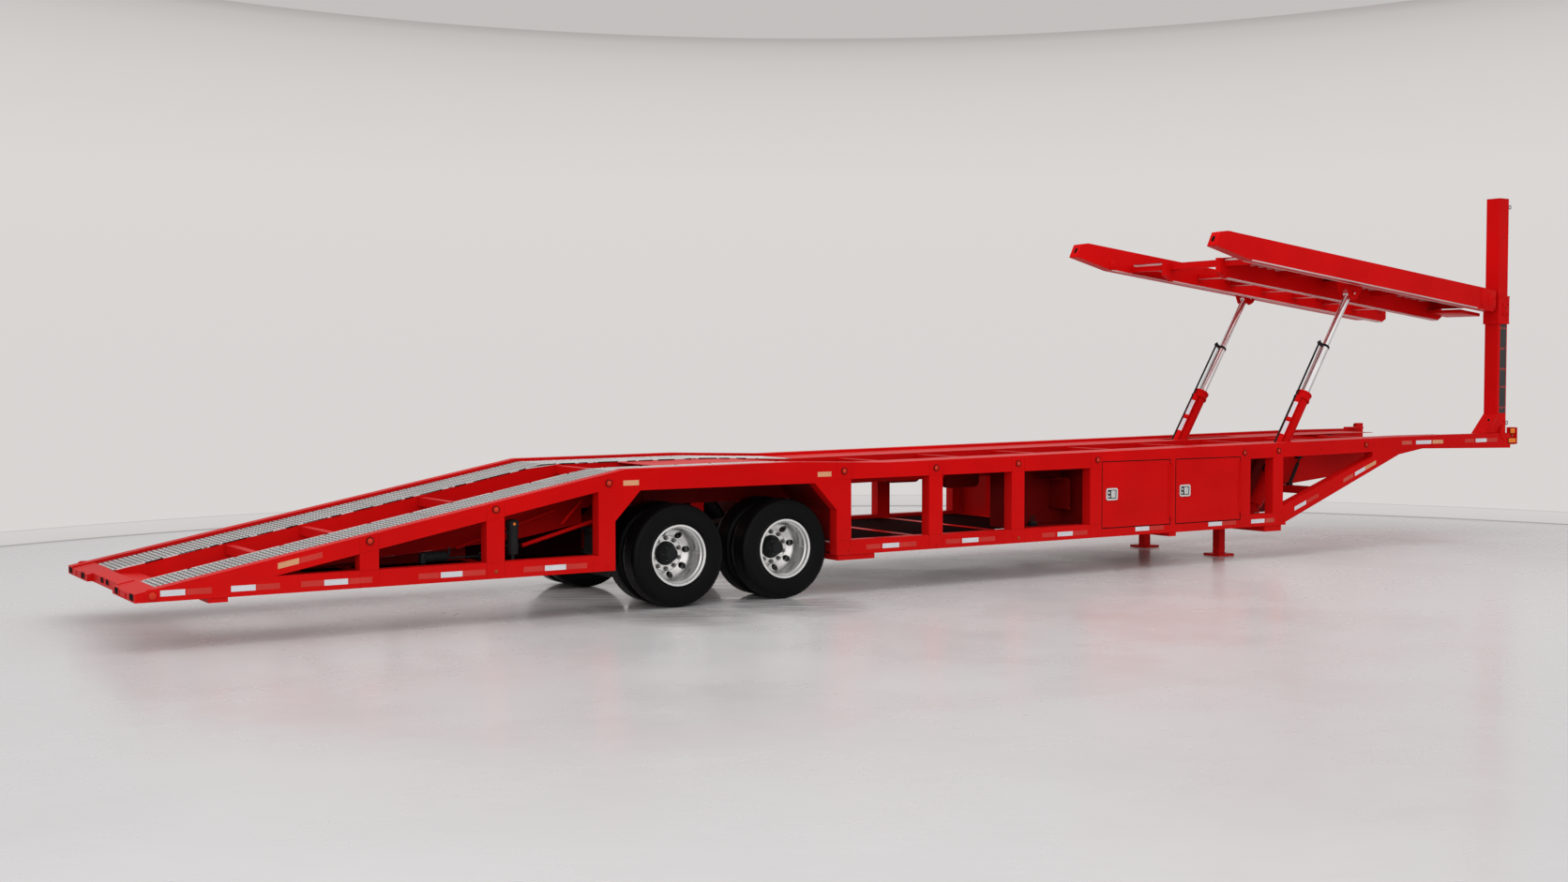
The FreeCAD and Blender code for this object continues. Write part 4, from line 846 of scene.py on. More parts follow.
class Repeat:
    """A geometry node tree with named inputs, run once over a host mesh."""

    NAME = "repeat"
    SIZES: dict[str, float] = {}

    def __init__(self) -> None:
        """Build the tree."""
        self.tree = bpy.data.node_groups.new(self.NAME, "GeometryNodeTree")
        face = self.tree.interface
        face.new_socket("Geometry", in_out="INPUT", socket_type="NodeSocketGeometry")
        for label, default in self.SIZES.items():
            face.new_socket(label, in_out="INPUT", socket_type="NodeSocketFloat").default_value = default
        face.new_socket("Material", in_out="INPUT", socket_type="NodeSocketMaterial")
        face.new_socket("Geometry", in_out="OUTPUT", socket_type="NodeSocketGeometry")
        self.graph = Graph(self.tree)
        take = self.graph.add("NodeGroupInput")
        made = self.build(take)
        real = self.graph.add("GeometryNodeRealizeInstances", {0: made})
        dressed = self.graph.add("GeometryNodeSetMaterial", {"Geometry": real.outputs[0],
                                 "Material": take.outputs["Material"]})
        end = self.graph.add("NodeGroupOutput")
        self.tree.links.new(dressed.outputs[0], end.inputs[0])

    def build(self, take: Node) -> Socket:
        """Wire what the tree repeats and give its geometry."""
        raise NotImplementedError

    def stand(self, take: Node, thing: Socket) -> Socket:
        """Stand a thing on each host point, turned by the point's facing."""
        facing = self.graph.add("GeometryNodeInputNamedAttribute", {"Name": "facing"},
                                data_type="FLOAT_VECTOR")
        turn = self.graph.add("FunctionNodeEulerToRotation", {0: facing.outputs[0]})
        put = self.graph.add("GeometryNodeInstanceOnPoints", {"Points": take.outputs["Geometry"],
                             "Instance": thing, "Rotation": turn.outputs[0]})
        return put.outputs[0]

    def shift(self, thing: Socket, up: Socket) -> Socket:
        """Move a thing up its own axis."""
        lift = self.graph.add("ShaderNodeCombineXYZ", {2: up})
        return self.graph.add("GeometryNodeTransform",
                              {"Geometry": thing, "Translation": lift.outputs[0]}).outputs[0]

    def run(self, host: Mesh, material: Material, **sizes: float) -> Mesh:
        """Run the tree over a host mesh.

        Args:
            host: points with a facing, or edges to sweep along.
            material: what the result is made of.
            sizes: the tree's inputs; an underscore stands for a space.

        Returns:
            A plain mesh.
        """
        obj = bpy.data.objects.new("host", host)
        bpy.context.scene.collection.objects.link(obj)
        modifier = obj.modifiers.new("repeat", "NODES")
        modifier.node_group = self.tree
        values = {key.replace("_", " "): value for key, value in sizes.items()}
        values["Material"] = material
        for item in self.tree.interface.items_tree:
            if item.in_out == "INPUT" and item.name in values:
                modifier[item.identifier] = values[item.name]
        bpy.context.view_layer.update()
        evaluated = obj.evaluated_get(bpy.context.evaluated_depsgraph_get())
        made = bpy.data.meshes.new_from_object(evaluated)
        obj.modifiers.clear()
        bpy.data.objects.remove(obj)
        for old in [a.name for a in made.attributes if a.name == "facing"]:
            made.attributes.remove(made.attributes[old])
        return made


class HexBolts(Repeat):
    """Hexagon-headed bolts on washers."""

    NAME = "hex_bolts"
    SIZES = {"Head Radius": 0.01, "Head Height": 0.007, "Washer Radius": 0.013, "Washer Height": 0.002}

    def build(self, take: Node) -> Socket:
        """A washer, a hexagon head and the crown on it."""
        graph, size = self.graph, take.outputs
        washer = graph.add("GeometryNodeMeshCylinder", {"Vertices": 18, "Radius": size["Washer Radius"],
                           "Depth": size["Washer Height"]})
        half = graph.math("MULTIPLY", size["Washer Height"], 0.5)
        head = graph.add("GeometryNodeMeshCylinder", {"Vertices": 6, "Radius": size["Head Radius"],
                         "Depth": size["Head Height"]})
        head_up = graph.math("MULTIPLY_ADD", size["Head Height"], 0.5, size["Washer Height"])
        crown = graph.add("GeometryNodeMeshCone", {
            "Vertices": 12, "Radius Top": graph.math("MULTIPLY", size["Head Radius"], 0.45),
            "Radius Bottom": graph.math("MULTIPLY", size["Head Radius"], 0.84),
            "Depth": graph.math("MULTIPLY", size["Head Height"], 0.22)})
        crown_up = graph.math("ADD", size["Head Height"], size["Washer Height"])
        join = graph.add("GeometryNodeJoinGeometry")
        for part, up in ((washer.outputs[0], half), (head.outputs[0], head_up),
                         (crown.outputs[0], crown_up)):
            graph.link(self.shift(part, up), join.inputs[0])
        return self.stand(take, join.outputs[0])


class TreadLugs(Repeat):
    """Raised lugs of chequer plate: low stretched pyramids with their tops cut off."""

    NAME = "tread_lugs"
    SIZES = {"Length": 0.024, "Width": 0.008, "Height": 0.002}

    def build(self, take: Node) -> Socket:
        """A four-sided cone scaled to the lug's length and width."""
        graph, size = self.graph, take.outputs
        cone = graph.add("GeometryNodeMeshCone", {"Vertices": 4, "Radius Top": 0.26, "Radius Bottom": 0.5,
                         "Depth": 1.0})
        scale = graph.add("ShaderNodeCombineXYZ", {0: size["Length"], 1: size["Width"], 2: size["Height"]})
        lug = graph.add("GeometryNodeTransform", {"Geometry": cone.outputs[0], "Scale": scale.outputs[0]})
        return self.stand(take, lug.outputs[0])


class Domes(Repeat):
    """Round lamps: a bezel with a domed lens in it."""

    NAME = "domes"
    SIZES = {"Radius": 0.026, "Height": 0.016, "Bezel Radius": 0.032, "Bezel Height": 0.006}

    def build(self, take: Node) -> Socket:
        """A flattened ball sunk into a chamfered ring."""
        graph, size = self.graph, take.outputs
        ball = graph.add("GeometryNodeMeshUVSphere", {"Segments": 24, "Rings": 12, "Radius": 1.0})
        scale = graph.add("ShaderNodeCombineXYZ", {0: size["Radius"], 1: size["Radius"], 2: size["Height"]})
        lens = graph.add("GeometryNodeTransform", {"Geometry": ball.outputs[0], "Scale": scale.outputs[0]})
        ring = graph.add("GeometryNodeMeshCone", {
            "Vertices": 24, "Radius Top": graph.math("MULTIPLY", size["Bezel Radius"], 0.9),
            "Radius Bottom": size["Bezel Radius"], "Depth": size["Bezel Height"]})
        join = graph.add("GeometryNodeJoinGeometry")
        graph.link(lens.outputs[0], join.inputs[0])
        graph.link(ring.outputs[0], join.inputs[0])
        return self.stand(take, join.outputs[0])


class WeldBeads(Repeat):
    """Rippled weld beads along edges."""

    NAME = "weld_beads"
    SIZES = {"Radius": 0.004, "Step": 0.012, "Ripple": 0.0012}

    def build(self, take: Node) -> Socket:
        """A round profile swept along the host's edges, roughened by fixed noise."""
        graph, size = self.graph, take.outputs
        line = graph.add("GeometryNodeMeshToCurve", {"Mesh": take.outputs["Geometry"]})
        even = graph.add("GeometryNodeResampleCurve", {"Curve": line.outputs[0]})
        if "Mode" in even.inputs:
            even.inputs["Mode"].default_value = "Length"
        else:
            even.mode = "LENGTH"
        graph.link(size["Step"], even.inputs["Length"])
        profile = graph.add("GeometryNodeCurvePrimitiveCircle", {"Resolution": 6, "Radius": size["Radius"]})
        swept = graph.add("GeometryNodeCurveToMesh", {"Curve": even.outputs[0],
                          "Profile Curve": profile.outputs[0], "Fill Caps": True})
        place = graph.add("GeometryNodeInputPosition")
        noise = graph.add("ShaderNodeTexNoise", {"Vector": place.outputs[0], "Scale": 90.0, "Detail": 1.0})
        swell = graph.math("MULTIPLY", graph.math("SUBTRACT", noise.outputs[0], 0.5), size["Ripple"])
        normal = graph.add("GeometryNodeInputNormal")
        push = graph.add("ShaderNodeVectorMath", {0: normal.outputs[0], "Scale": swell}, operation="SCALE")
        moved = graph.add("GeometryNodeSetPosition", {"Geometry": swept.outputs[0],
                          "Offset": push.outputs[0]})
        return moved.outputs[0]


def points_host(points: Sequence[Point], facings: Sequence[Point]) -> Mesh:
    """A mesh of loose points, each with the turn of what stands on it."""
    host = bpy.data.meshes.new("points")
    host.from_pydata([tuple(p) for p in points], [], [])
    facing = host.attributes.new("facing", "FLOAT_VECTOR", "POINT")
    facing.data.foreach_set("vector", np.array([tuple(f) for f in facings], np.float32).ravel())
    return host


def lines_host(lines: Sequence[Sequence[Point]]) -> Mesh:
    """A mesh of loose edges along the given lines."""
    points, edges = [], []
    for line in lines:
        first = len(points)
        points += [tuple(p) for p in line]
        edges += [(first + i, first + i + 1) for i in range(len(line) - 1)]
    host = bpy.data.meshes.new("lines")
    host.from_pydata(points, edges, [])
    return host


OUT = {Side.RIGHT: (pi / 2, 0.0, 0.0), Side.LEFT: (-pi / 2, 0.0, 0.0)}


@dataclass
class Repeats:
    """The trees, built once."""

    bolts: HexBolts = field(default_factory=HexBolts)
    lugs: TreadLugs = field(default_factory=TreadLugs)
    domes: Domes = field(default_factory=Domes)
    beads: WeldBeads = field(default_factory=WeldBeads)


@dataclass
class Fittings:
    """A sub-assembly's pieces, placed from the trailer's lines."""

    shop: Workshop
    datum: Datum
    repeats: Repeats

    @property
    def look(self) -> Palette:
        """Every finish."""
        return self.shop.palette

    def x(self, station: float) -> float:
        """Turn a station into X in the row frame."""
        return self.datum.x(station)


# ---- Studio and camera ----

@dataclass
class Studio:
    """Round pale floor, its low skirting, plain surroundings and soft light."""

    centre: Flat = (-2.04, -3.87)
    radius: float = 14.2
    skirting: float = 0.19
    skirting_thick: float = 0.02
    floor_thick: float = 0.02
    ceiling: tuple[Point, float] = ((-3.63, -3.44, 8.0), 15.03)
    stand: Point = EYE
    wall: tuple[tuple[float, Colour], ...] = (
        (0.0, (0.69, 0.668, 0.655)), (0.39, (0.702, 0.68, 0.665)), (0.7, (0.65, 0.624, 0.61)),
        (0.86, (0.595, 0.57, 0.558)), (0.95, (0.53, 0.505, 0.492)), (0.992, (0.44, 0.415, 0.402)),
        (0.999, (0.43, 0.405, 0.392)), (1.0, (0.545, 0.525, 0.515)))
    floor: Colour = (0.6, 0.588, 0.582)
    sky: float = 0.92
    behind: Point = (-0.55, -0.835, 0.0)
    # Where the painted tyre reflections lie, and the floor's coat away from them and in them
    axles: Flat = (-4.03, -2.78)
    tyre_rows: Flat = (-1.0, 1.0)
    polish: Flat = (0.05, 0.95)
    across_view: float = -0.579
    mirrored: tuple[Flat, ...] = ((0.0, 1.0), (0.22, 0.95), (0.42, 0.6), (0.6, 0.66), (0.8, 1.25),
                                  (1.0, 1.6))
    lamps: tuple[tuple[Point, Point, Flat, float], ...] = (
        ((-1.0, -2.5, 9.5), (0.0, 0.0, 1.0), (17.0, 8.0), 420.0), ((-13.0, -15.0, 6.5), (0.0, 0.0, 1.8),
        (9.0, 5.0), 560.0), ((9.0, 15.0, 7.0), (0.0, 0.0, 1.4), (10.0, 5.0), 260.0))

    def build(self) -> None:
        """Lay the floor, set the surroundings and hang the lamps."""
        self._floor()
        self._skirting()
        self._world()
        for i, (place, aim, size, power) in enumerate(self.lamps):
            light = bpy.data.lights.new(f"softbox_{i}", "AREA")
            light.shape, light.size, light.size_y, light.energy = "RECTANGLE", size[0], size[1], power
            lamp = bpy.data.objects.new(light.name, light)
            lamp.location = place
            lamp.visible_glossy = False
            lamp.rotation_euler = (Vector(aim) - Vector(place)).to_track_quat("-Z", "Y").to_euler()
            bpy.context.scene.collection.objects.link(lamp)

    def _stage(self, name: str, mesh: Mesh, material: Material) -> None:
        """Put a piece of the studio in place."""
        mesh.materials.append(material)
        obj = bpy.data.objects.new(name, mesh)
        bpy.context.scene.collection.objects.link(obj)

    def _floor(self) -> None:
        """Sealed concrete: pale, cloudy and a little glossy, with dark tyre reflections painted in front of
        the tyres.
        """
        look = Finish("sealed_concrete", Specular_IOR_Level=0.26, Coat_Roughness=0.05)
        graph = look.graph
        place = graph.place()
        broad = graph.noise(place, 0.55, 7.0, Roughness=0.6)
        swept = graph.add("ShaderNodeMapping", {"Vector": place, "Rotation": (0.0, 0.0, self.across_view),
                          "Scale": (3.0, 0.8, 1.0)}, vector_type="TEXTURE").outputs[0]
        fine = graph.noise(swept, 9.0, 5.0)
        tone = graph.ramp(broad, [(0.32, tuple(0.955 * c for c in self.floor)), (0.68, self.floor)])
        speck = graph.ramp(fine, [(0.35, (0.985, 0.985, 0.985)), (0.65, (1.0, 1.0, 1.0))])
        mixed = graph.add("ShaderNodeMix", {0: 1.0, 6: tone, 7: speck}, data_type="RGBA",
                          blend_type="MULTIPLY")
        tyre_reflection_mask = self._damp(graph, place)
        reflection_darkened = graph.add("ShaderNodeMix", {0: graph.math("MULTIPLY", tyre_reflection_mask, 0.22), 6: mixed.outputs[2],
                        7: (0.1, 0.098, 0.096, 1.0)}, data_type="RGBA")
        look.feed("Base Color", reflection_darkened.outputs[2])
        look.feed("Coat Weight", graph.math("MULTIPLY_ADD", tyre_reflection_mask, self.polish[1], self.polish[0]))
        look.feed("Roughness", graph.math("MULTIPLY_ADD", broad, 0.35, 0.1, clamp=True))
        look.bump(fine, 0.0006, 0.25)
        disc = Shape().prism(circle(self.centre, self.radius, ROUND), "z", -self.floor_thick,
                             0.0).mesh("floor")
        self._stage("studio_floor", disc, look.material)

    def _damp(self, graph: Graph, place: Socket) -> Socket:
        """Where dark reflections of the tyres are painted into the floor, with a ragged edge; its coat is
        raised there too.
        """
        stretched = graph.add("ShaderNodeMapping", {"Vector": place,
                              "Rotation": (0.0, 0.0, self.across_view), "Scale": (1.0, 0.16, 1.0)},
                              vector_type="TEXTURE").outputs[0]
        ragged = graph.noise(stretched, 1.6, 4.0)
        at = graph.add("ShaderNodeSeparateXYZ", {0: place}).outputs
        total: object = 0.0
        for x in self.axles:
            for y in self.tyre_rows:
                east = graph.math("MULTIPLY_ADD", at["X"], 1.0, -x + 0.25)
                north = graph.math("MULTIPLY_ADD", at["Y"], 1.0, -y + 0.5)
                across = graph.math("MULTIPLY", graph.math("POWER", graph.math("ABSOLUTE", east), 2.0), 1.7)
                along = graph.math("MULTIPLY", graph.math("POWER", graph.math("ABSOLUTE", north), 2.0), 0.9)
                near = graph.math("SUBTRACT", 1.15, graph.math("ADD", across, along), clamp=True)
                total = graph.math("MAXIMUM", total, near)
        torn = graph.math("MULTIPLY_ADD", ragged, 2.4, -0.6)
        return graph.math("MULTIPLY", total, torn, clamp=True)

    def _skirting(self) -> None:
        """A low skirting round the floor's edge: a glowing band with painted shade, dark at its foot and its
        top edge.
        """
        material = bpy.data.materials.new("skirting")
        material.use_nodes = True
        graph = Graph(material.node_tree)
        graph.tree.nodes.clear()
        place = graph.place()
        tall = graph.add("ShaderNodeSeparateXYZ", {0: place}).outputs["Z"]
        share = graph.math("DIVIDE", tall, self.skirting)
        tone = graph.ramp(share, [(0.0, (0.3, 0.29, 0.28)), (0.1, (0.62, 0.6, 0.59)),
                          (0.93, (0.65, 0.63, 0.62)), (1.0, (0.52, 0.5, 0.49))])
        glow = graph.add("ShaderNodeEmission", {"Color": tone})
        graph.add("ShaderNodeOutputMaterial", {"Surface": glow.outputs[0]})
        band = Shape()
        outer, inner = circle(self.centre, self.radius + self.skirting_thick,
                              ROUND), circle(self.centre, self.radius, ROUND)
        ring_between(band, outer, inner, "z", 0.0, self.skirting)
        self._stage("studio_skirting", band.mesh("skirting"), material)

    def _world(self) -> None:
        """Even pale surroundings: their own colour where seen or mirrored, plain light elsewhere."""
        world = bpy.data.worlds.new("surroundings")
        bpy.context.scene.world = world
        world.use_nodes = True
        graph = Graph(world.node_tree)
        graph.tree.nodes.clear()
        bpy.context.scene.view_settings.view_transform = "Standard"
        path = graph.add("ShaderNodeLightPath")
        seen = graph.math("MAXIMUM", path.outputs["Is Camera Ray"], path.outputs["Is Transmission Ray"])
        seen = graph.math("MAXIMUM", seen, path.outputs["Is Glossy Ray"])
        mirrored = graph.mix(path.outputs["Is Glossy Ray"], (1.0, 1.0, 1.0, 1.0), self._softboxes(graph))
        plain = graph.add("ShaderNodeBackground", {"Color": self._walls(graph), "Strength": mirrored})
        light = graph.add("ShaderNodeBackground", {"Color": (0.97, 0.98, 1.0, 1.0), "Strength": self.sky})
        both = graph.add("ShaderNodeMixShader", {0: seen, 1: light.outputs[0], 2: plain.outputs[0]})
        graph.add("ShaderNodeOutputWorld", {"Surface": both.outputs[0]})

    def _softboxes(self, graph: Graph) -> Socket:
        """How bright the surroundings are in a mirror: bright behind the camera, dim to its sides."""
        outward = graph.add("ShaderNodeTexCoord").outputs["Generated"]
        toward = graph.add("ShaderNodeVectorMath", {0: outward, 1: self.behind}, operation="DOT_PRODUCT")
        share = graph.math("MULTIPLY_ADD", toward.outputs["Value"], 0.5, 0.5)
        return graph.ramp(share, [(p, (v, v, v)) for p, v in self.mirrored])

    def _walls(self, graph: Graph) -> Socket:
        """Colour of the wall and the round ceiling above it, by direction; painted shade darkens the wall up
        to the ceiling.
        """
        outward = graph.add("ShaderNodeTexCoord").outputs["Generated"]
        ray = graph.add("ShaderNodeSeparateXYZ", {0: outward}).outputs
        (x, y, z), radius = self.ceiling
        up = graph.math("MAXIMUM", ray["Z"], 0.0001)
        reach = graph.math("DIVIDE", z - self.stand[2], up)
        along = [graph.math("MULTIPLY_ADD", ray[axis], reach, here - there) for axis, here,
                 there in (("X", self.stand[0], x), ("Y", self.stand[1], y))]
        away = graph.math("SQRT", graph.math("ADD", graph.math("POWER", graph.math("ABSOLUTE", along[0]),
                          2.0), graph.math("POWER", graph.math("ABSOLUTE", along[1]), 2.0)))
        return graph.ramp(graph.math("DIVIDE", radius, away, clamp=True), self.wall)


@dataclass(frozen=True)
class Viewpoint:
    """The camera: standing behind and to the right of the trailer, a little above head height."""

    place: Point = EYE
    down_deg: float = 2.1558
    turn_deg: float = -33.17
    lens: float = 40.176
    sensor: float = 36.0
    far: float = 300.0

    def build(self) -> None:
        """Make the camera and use it."""
        data = bpy.data.cameras.new("camera")
        data.lens, data.sensor_width, data.sensor_fit = self.lens, self.sensor, "HORIZONTAL"
        data.clip_end = self.far
        camera = bpy.data.objects.new("camera", data)
        camera.location = self.place
        camera.rotation_euler = (radians(90.0 - self.down_deg), 0.0, radians(self.turn_deg))
        bpy.context.scene.collection.objects.link(camera)
        bpy.context.scene.camera = camera


# ---- The CAD nodes' own finishes ----

@dataclass
class Dressing:
    """Which finish each CAD node takes, by its name or the start of its name."""

    palette: Palette

    def finish_for(self, node: str) -> Material:
        """Give the material of a node."""
        look = self.palette
        # tread_plates take the darkened aluminium, painted shade between the lugs; bay_panels take the darker
        # red, painted shade inside the bay
        table = {"tread_plates": look.plate, "bay_panels": look.shaded, "lift_stages": look.chrome,
                 "lift_rods": look.chrome, "lift_pins": look.steel, "kingpin": look.steel,
                 "axles": look.black, "leaf_springs": look.black, "neck_struts": look.black,
                 "mudflaps": look.rubber}
        return next((made for start, made in table.items() if node.startswith(start)), look.red)

    def build(self) -> None:
        """Put the finish in every slot of every node."""
        for name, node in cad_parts.items():
            made = self.finish_for(name)
            if not node.material_slots:
                node.data.materials.append(made)
            for slot in node.material_slots:
                slot.material = made


# ---- Runways ----

@dataclass
class RampTread(Fittings):
    """Lugs and seams of the chequer plate on the ramp and over the wheels."""

    back: float = -4.85
    front: float = 2.44
    inner: float = 0.5
    pitch: float = 0.044
    lug: Point = (0.046, 0.0165, 0.0034)
    margin: float = 0.014
    seam_every: float = 1.219
    edge_long: float = 0.4
    edge_gap: float = 0.035

    def surface(self, station: float) -> float:
        """Height of the plates' top at a station."""
        return self.datum.top(station) - self.datum.lip

    def build(self) -> None:
        """Make the lugs and seams of each side."""
        outer = self.datum.face - self.datum.frame_depth
        for side in Side:
            points, facings = [], []
            rows = int((self.front - self.back - 2 * self.margin) / self.pitch)
            columns = int((outer - self.inner - 2 * self.margin) / self.pitch)
            for i in range(rows):
                station = self.back + self.margin + (i + 0.5) * self.pitch
                tilt = Matrix.Rotation(-self.datum.slope(station), 4, "Y")
                for j in range(columns):
                    y = self.inner + self.margin + (j + 0.5) * self.pitch
                    turn = tilt @ Matrix.Rotation(radians(45.0 if (i + j) % 2 else -45.0), 4, "Z")
                    points.append((self.x(station), side.value * y, self.surface(station) - 0.0001))
                    facings.append(tuple(turn.to_euler()))
            mesh = self.repeats.lugs.run(points_host(points, facings), self.look.tread, Length=self.lug[0],
                                         Width=self.lug[1], Height=self.lug[2])
            self.shop.put(f"tread_lugs_{side.word}", mesh, slot=Slot.TREAD, angle=20.0)
        self._seams(outer)

    def _seams(self, outer: float) -> None:
        """Dark joints between plates, turned-down inner edges with cut-outs, and painted shadow strips along
        them.
        """
        seams = Shape()
        station = self.back + self.seam_every
        while station < self.front:
            angle = self.datum.slope(station)
            place = (Matrix.Translation((self.x(station), 0.0, self.surface(station)))
                     @ Matrix.Rotation(-angle, 4, "Y"))
            seams.box((-0.002, -outer + 0.002, -0.001), (0.002, -self.inner - 0.002, 0.0004), place=place)
            station += self.seam_every
        self.shop.put("tread_seams", seams.mirrored(), self.look.void, slot=Slot.TREAD)
        edge = Shape()
        station, step, gap = self.back + 0.05, self.edge_long, self.edge_gap
        while station + step < self.front:
            end = station + step - gap
            low, high = self.surface(station), self.surface(end)
            outline = [(self.x(station), low - 0.006), (self.x(end), high - 0.006),
                       (self.x(end), high + 0.0035), (self.x(station), low + 0.0035)]
            edge.prism(outline, "y", -self.inner - 0.008, -self.inner + 0.004)
            station += step
        self.shop.put("tread_edges", edge.mirrored(), self.look.tread, slot=Slot.TREAD)
        # Dark strips of painted shadow, of uneven length, along the plates' inner edges
        gaps, station, k = Shape(), self.back + 0.3, 0
        while station < self.front - 0.5:
            end = station + 0.08 + 0.08 * (1 + sin(2.4 * k))
            low, high = self.surface(station), self.surface(end)
            deep = 0.006 + 0.003 * cos(3.7 * k)
            outline = [(self.x(station), low - deep), (self.x(end), high - 0.006),
                       (self.x(end), high + 0.003), (self.x(station), low + 0.003)]
            gaps.prism(outline, "y", -self.inner - 0.003, -self.inner + 0.0055)
            station, k = end + 0.03 + 0.05 * (1 + cos(1.7 * k)), k + 1
        self.shop.put("tread_shadow_gaps", gaps.mirrored(), self.look.void, slot=Slot.BLACK)


# ---- Wheels ----

@dataclass
class WheelSet(Fittings):
    """Twin wheels of one axle end: two tyres, two rims with hand holes, hub, drum, studs and nuts."""

    row: str
    side: Side
    half: float = 0.137
    radius: float = 0.502
    twin: float = 0.336
    hub_face: float = 0.168
    bolt_circle: float = 0.15
    studs: int = 10
    hand_holes: int = 8
    hand_circle: float = 0.213
    hand_radius: float = 0.033
    lugs: int = 90
    nut_seat: float = 0.0122
    cap_circle: float = 0.0695
    cap_bolts: int = 6

    def build(self) -> None:
        """Make the pieces and stand them for the CAD's."""
        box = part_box(f"tyres_{self.row}_{self.side.word}")
        x, z = (box[0].x + box[1].x) / 2, (box[0].z + box[1].z) / 2
        outer = max(abs(box[0].y), abs(box[1].y)) - self.half
        tag = f"{self.row}_{self.side.word}"
        body = f"{tag}_wheels"
        look = self.look
        tyres = Shape()
        for middle in (-outer, -outer + self.twin):
            self._tyre(tyres, (x, middle, z))
        self.shop.put(f"tyre_pair_{tag}", tyres.flipped(self.side), look.tyre, body=body, slot=Slot.TYRE,
                      replaces=[f"tyres_{tag}"], angle=28.0)
        hub_y = -outer + self.hub_face
        rims = self._rims((x, -outer, z), hub_y)
        if self.side is Side.LEFT:
            rims.transform(Matrix.Scale(-1.0, 4, (0, 1, 0)))
            rims.flip_normals()
        self.shop.put(f"rim_pair_{tag}", rims, look.wheel, body=body, slot=Slot.WHEEL,
                      replaces=[f"wheels_{tag}"], angle=32.0)
        hub = Shape()
        self._hub(hub, (x, hub_y, z))
        self.shop.put(f"hub_{tag}", hub.flipped(self.side), look.casing, look.steel, body=body,
                      slot=Slot.BLACK)
        y = self.side.value * abs(hub_y - self.nut_seat)
        points = [(a, y, b) for a, b in self._studs(x, z)]
        nuts = self.repeats.bolts.run(points_host(points, [OUT[self.side]] * self.studs), look.nut,
                                      Head_Radius=0.0175, Head_Height=0.024, Washer_Radius=0.0225,
                                      Washer_Height=0.005)
        self.shop.put(f"wheel_nuts_{tag}", nuts, body=body, slot=Slot.BARE)

    def _studs(self, x: float, z: float) -> list[Flat]:
        """Places of the studs round the axle."""
        return circle((x, z), self.bolt_circle, self.studs, pi / self.studs)

    def _tyre(self, shape: Shape, centre: Point) -> None:
        """Add one tyre: beads, sidewall rings, toothed shoulders and four grooves."""
        h, r = self.half, self.radius
        wall = [(h - 0.034, 0.286), (h - 0.034, 0.3), (h - 0.025, 0.313), (h - 0.016, 0.322),
                (h - 0.013, 0.326), (h - 0.012, 0.334), (h - 0.007, 0.344), (h - 0.0045, 0.352),
                (h - 0.0045, 0.356), (h - 0.002, 0.358), (h, 0.385), (h, 0.405), (h - 0.0012, 0.43),
                (h - 0.0035, 0.446), (h - 0.0022, 0.448), (h - 0.0028, 0.452), (h - 0.006, 0.454),
                (h - 0.011, 0.47), (h - 0.018, 0.4835), (h - 0.027, 0.4925), (h - 0.036, r - 0.0045)]
        tread = [(h - 0.046, r - 0.002)]
        for groove in (0.066, 0.024):
            tread += [(groove + 0.0055, r - 0.001), (groove + 0.004, r - 0.013),
                      (groove - 0.004, r - 0.013), (groove - 0.0055, r - 0.001)]
        half = wall + tread
        outline = half + [(-y, radius) for y, radius in reversed(half)]
        count = len(outline)
        teeth = {k for j in (17, 18, 19, 20, 21) for k in (j, count - 1 - j)}

        def pull(segment: int, corner: int) -> float:
            """Every other segment of the shoulders is cut back."""
            return 0.0042 if corner in teeth and segment % 2 else 0.0

        shape.lathe(outline, centre, "y", self.lugs * 2, pull=pull)

    def _rims(self, centre: Point, hub_y: float) -> Mesh:
        """Both rims with their discs, the hand holes cut through."""
        x, outer, z = centre
        face = self.hub_face - 0.0002
        barrel = [(-0.105, 0.2857), (-0.105, 0.296), (-0.107, 0.299), (-0.113, 0.299), (-0.116, 0.296),
                  (-0.116, 0.279), (-0.11, 0.2745), (-0.08, 0.2725), (-0.065, 0.26), (-0.03, 0.256),
                  (0.03, 0.256), (0.07, 0.261), (0.09, 0.2725), (0.116, 0.276), (0.116, 0.296),
                  (0.113, 0.299), (0.105, 0.299), (0.105, 0.2857)]
        disc = [(0.056, 0.259), (0.086, 0.256), (0.108, 0.244), (0.128, 0.224), (face - 0.023, 0.196),
                (face - 0.013, 0.18), (face - 0.012, 0.172), (face - 0.012, 0.0925), (face, 0.0925),
                (face, 0.174), (face - 0.004, 0.188), (face - 0.015, 0.206), (0.138, 0.232), (0.116, 0.255),
                (0.09, 0.268), (0.056, 0.268)]
        whole = Shape()
        for middle, turn in ((outer, 1), (outer + self.twin, -1)):
            whole.lathe([(y * turn, r) for y, r in barrel], (x, middle, z), "y", 96)
            plate = Shape().lathe([(y * turn, r) for y, r in disc], (x, middle, z), "y", 96)
            whole.bm.from_mesh(self._cut(plate, (x, hub_y, z)))
        valve = (x + 0.262, outer - 0.06, z)
        whole.rod((x + 0.236, outer + 0.01, z + 0.012), valve, 0.0045, 8)
        return whole.mesh("rims")

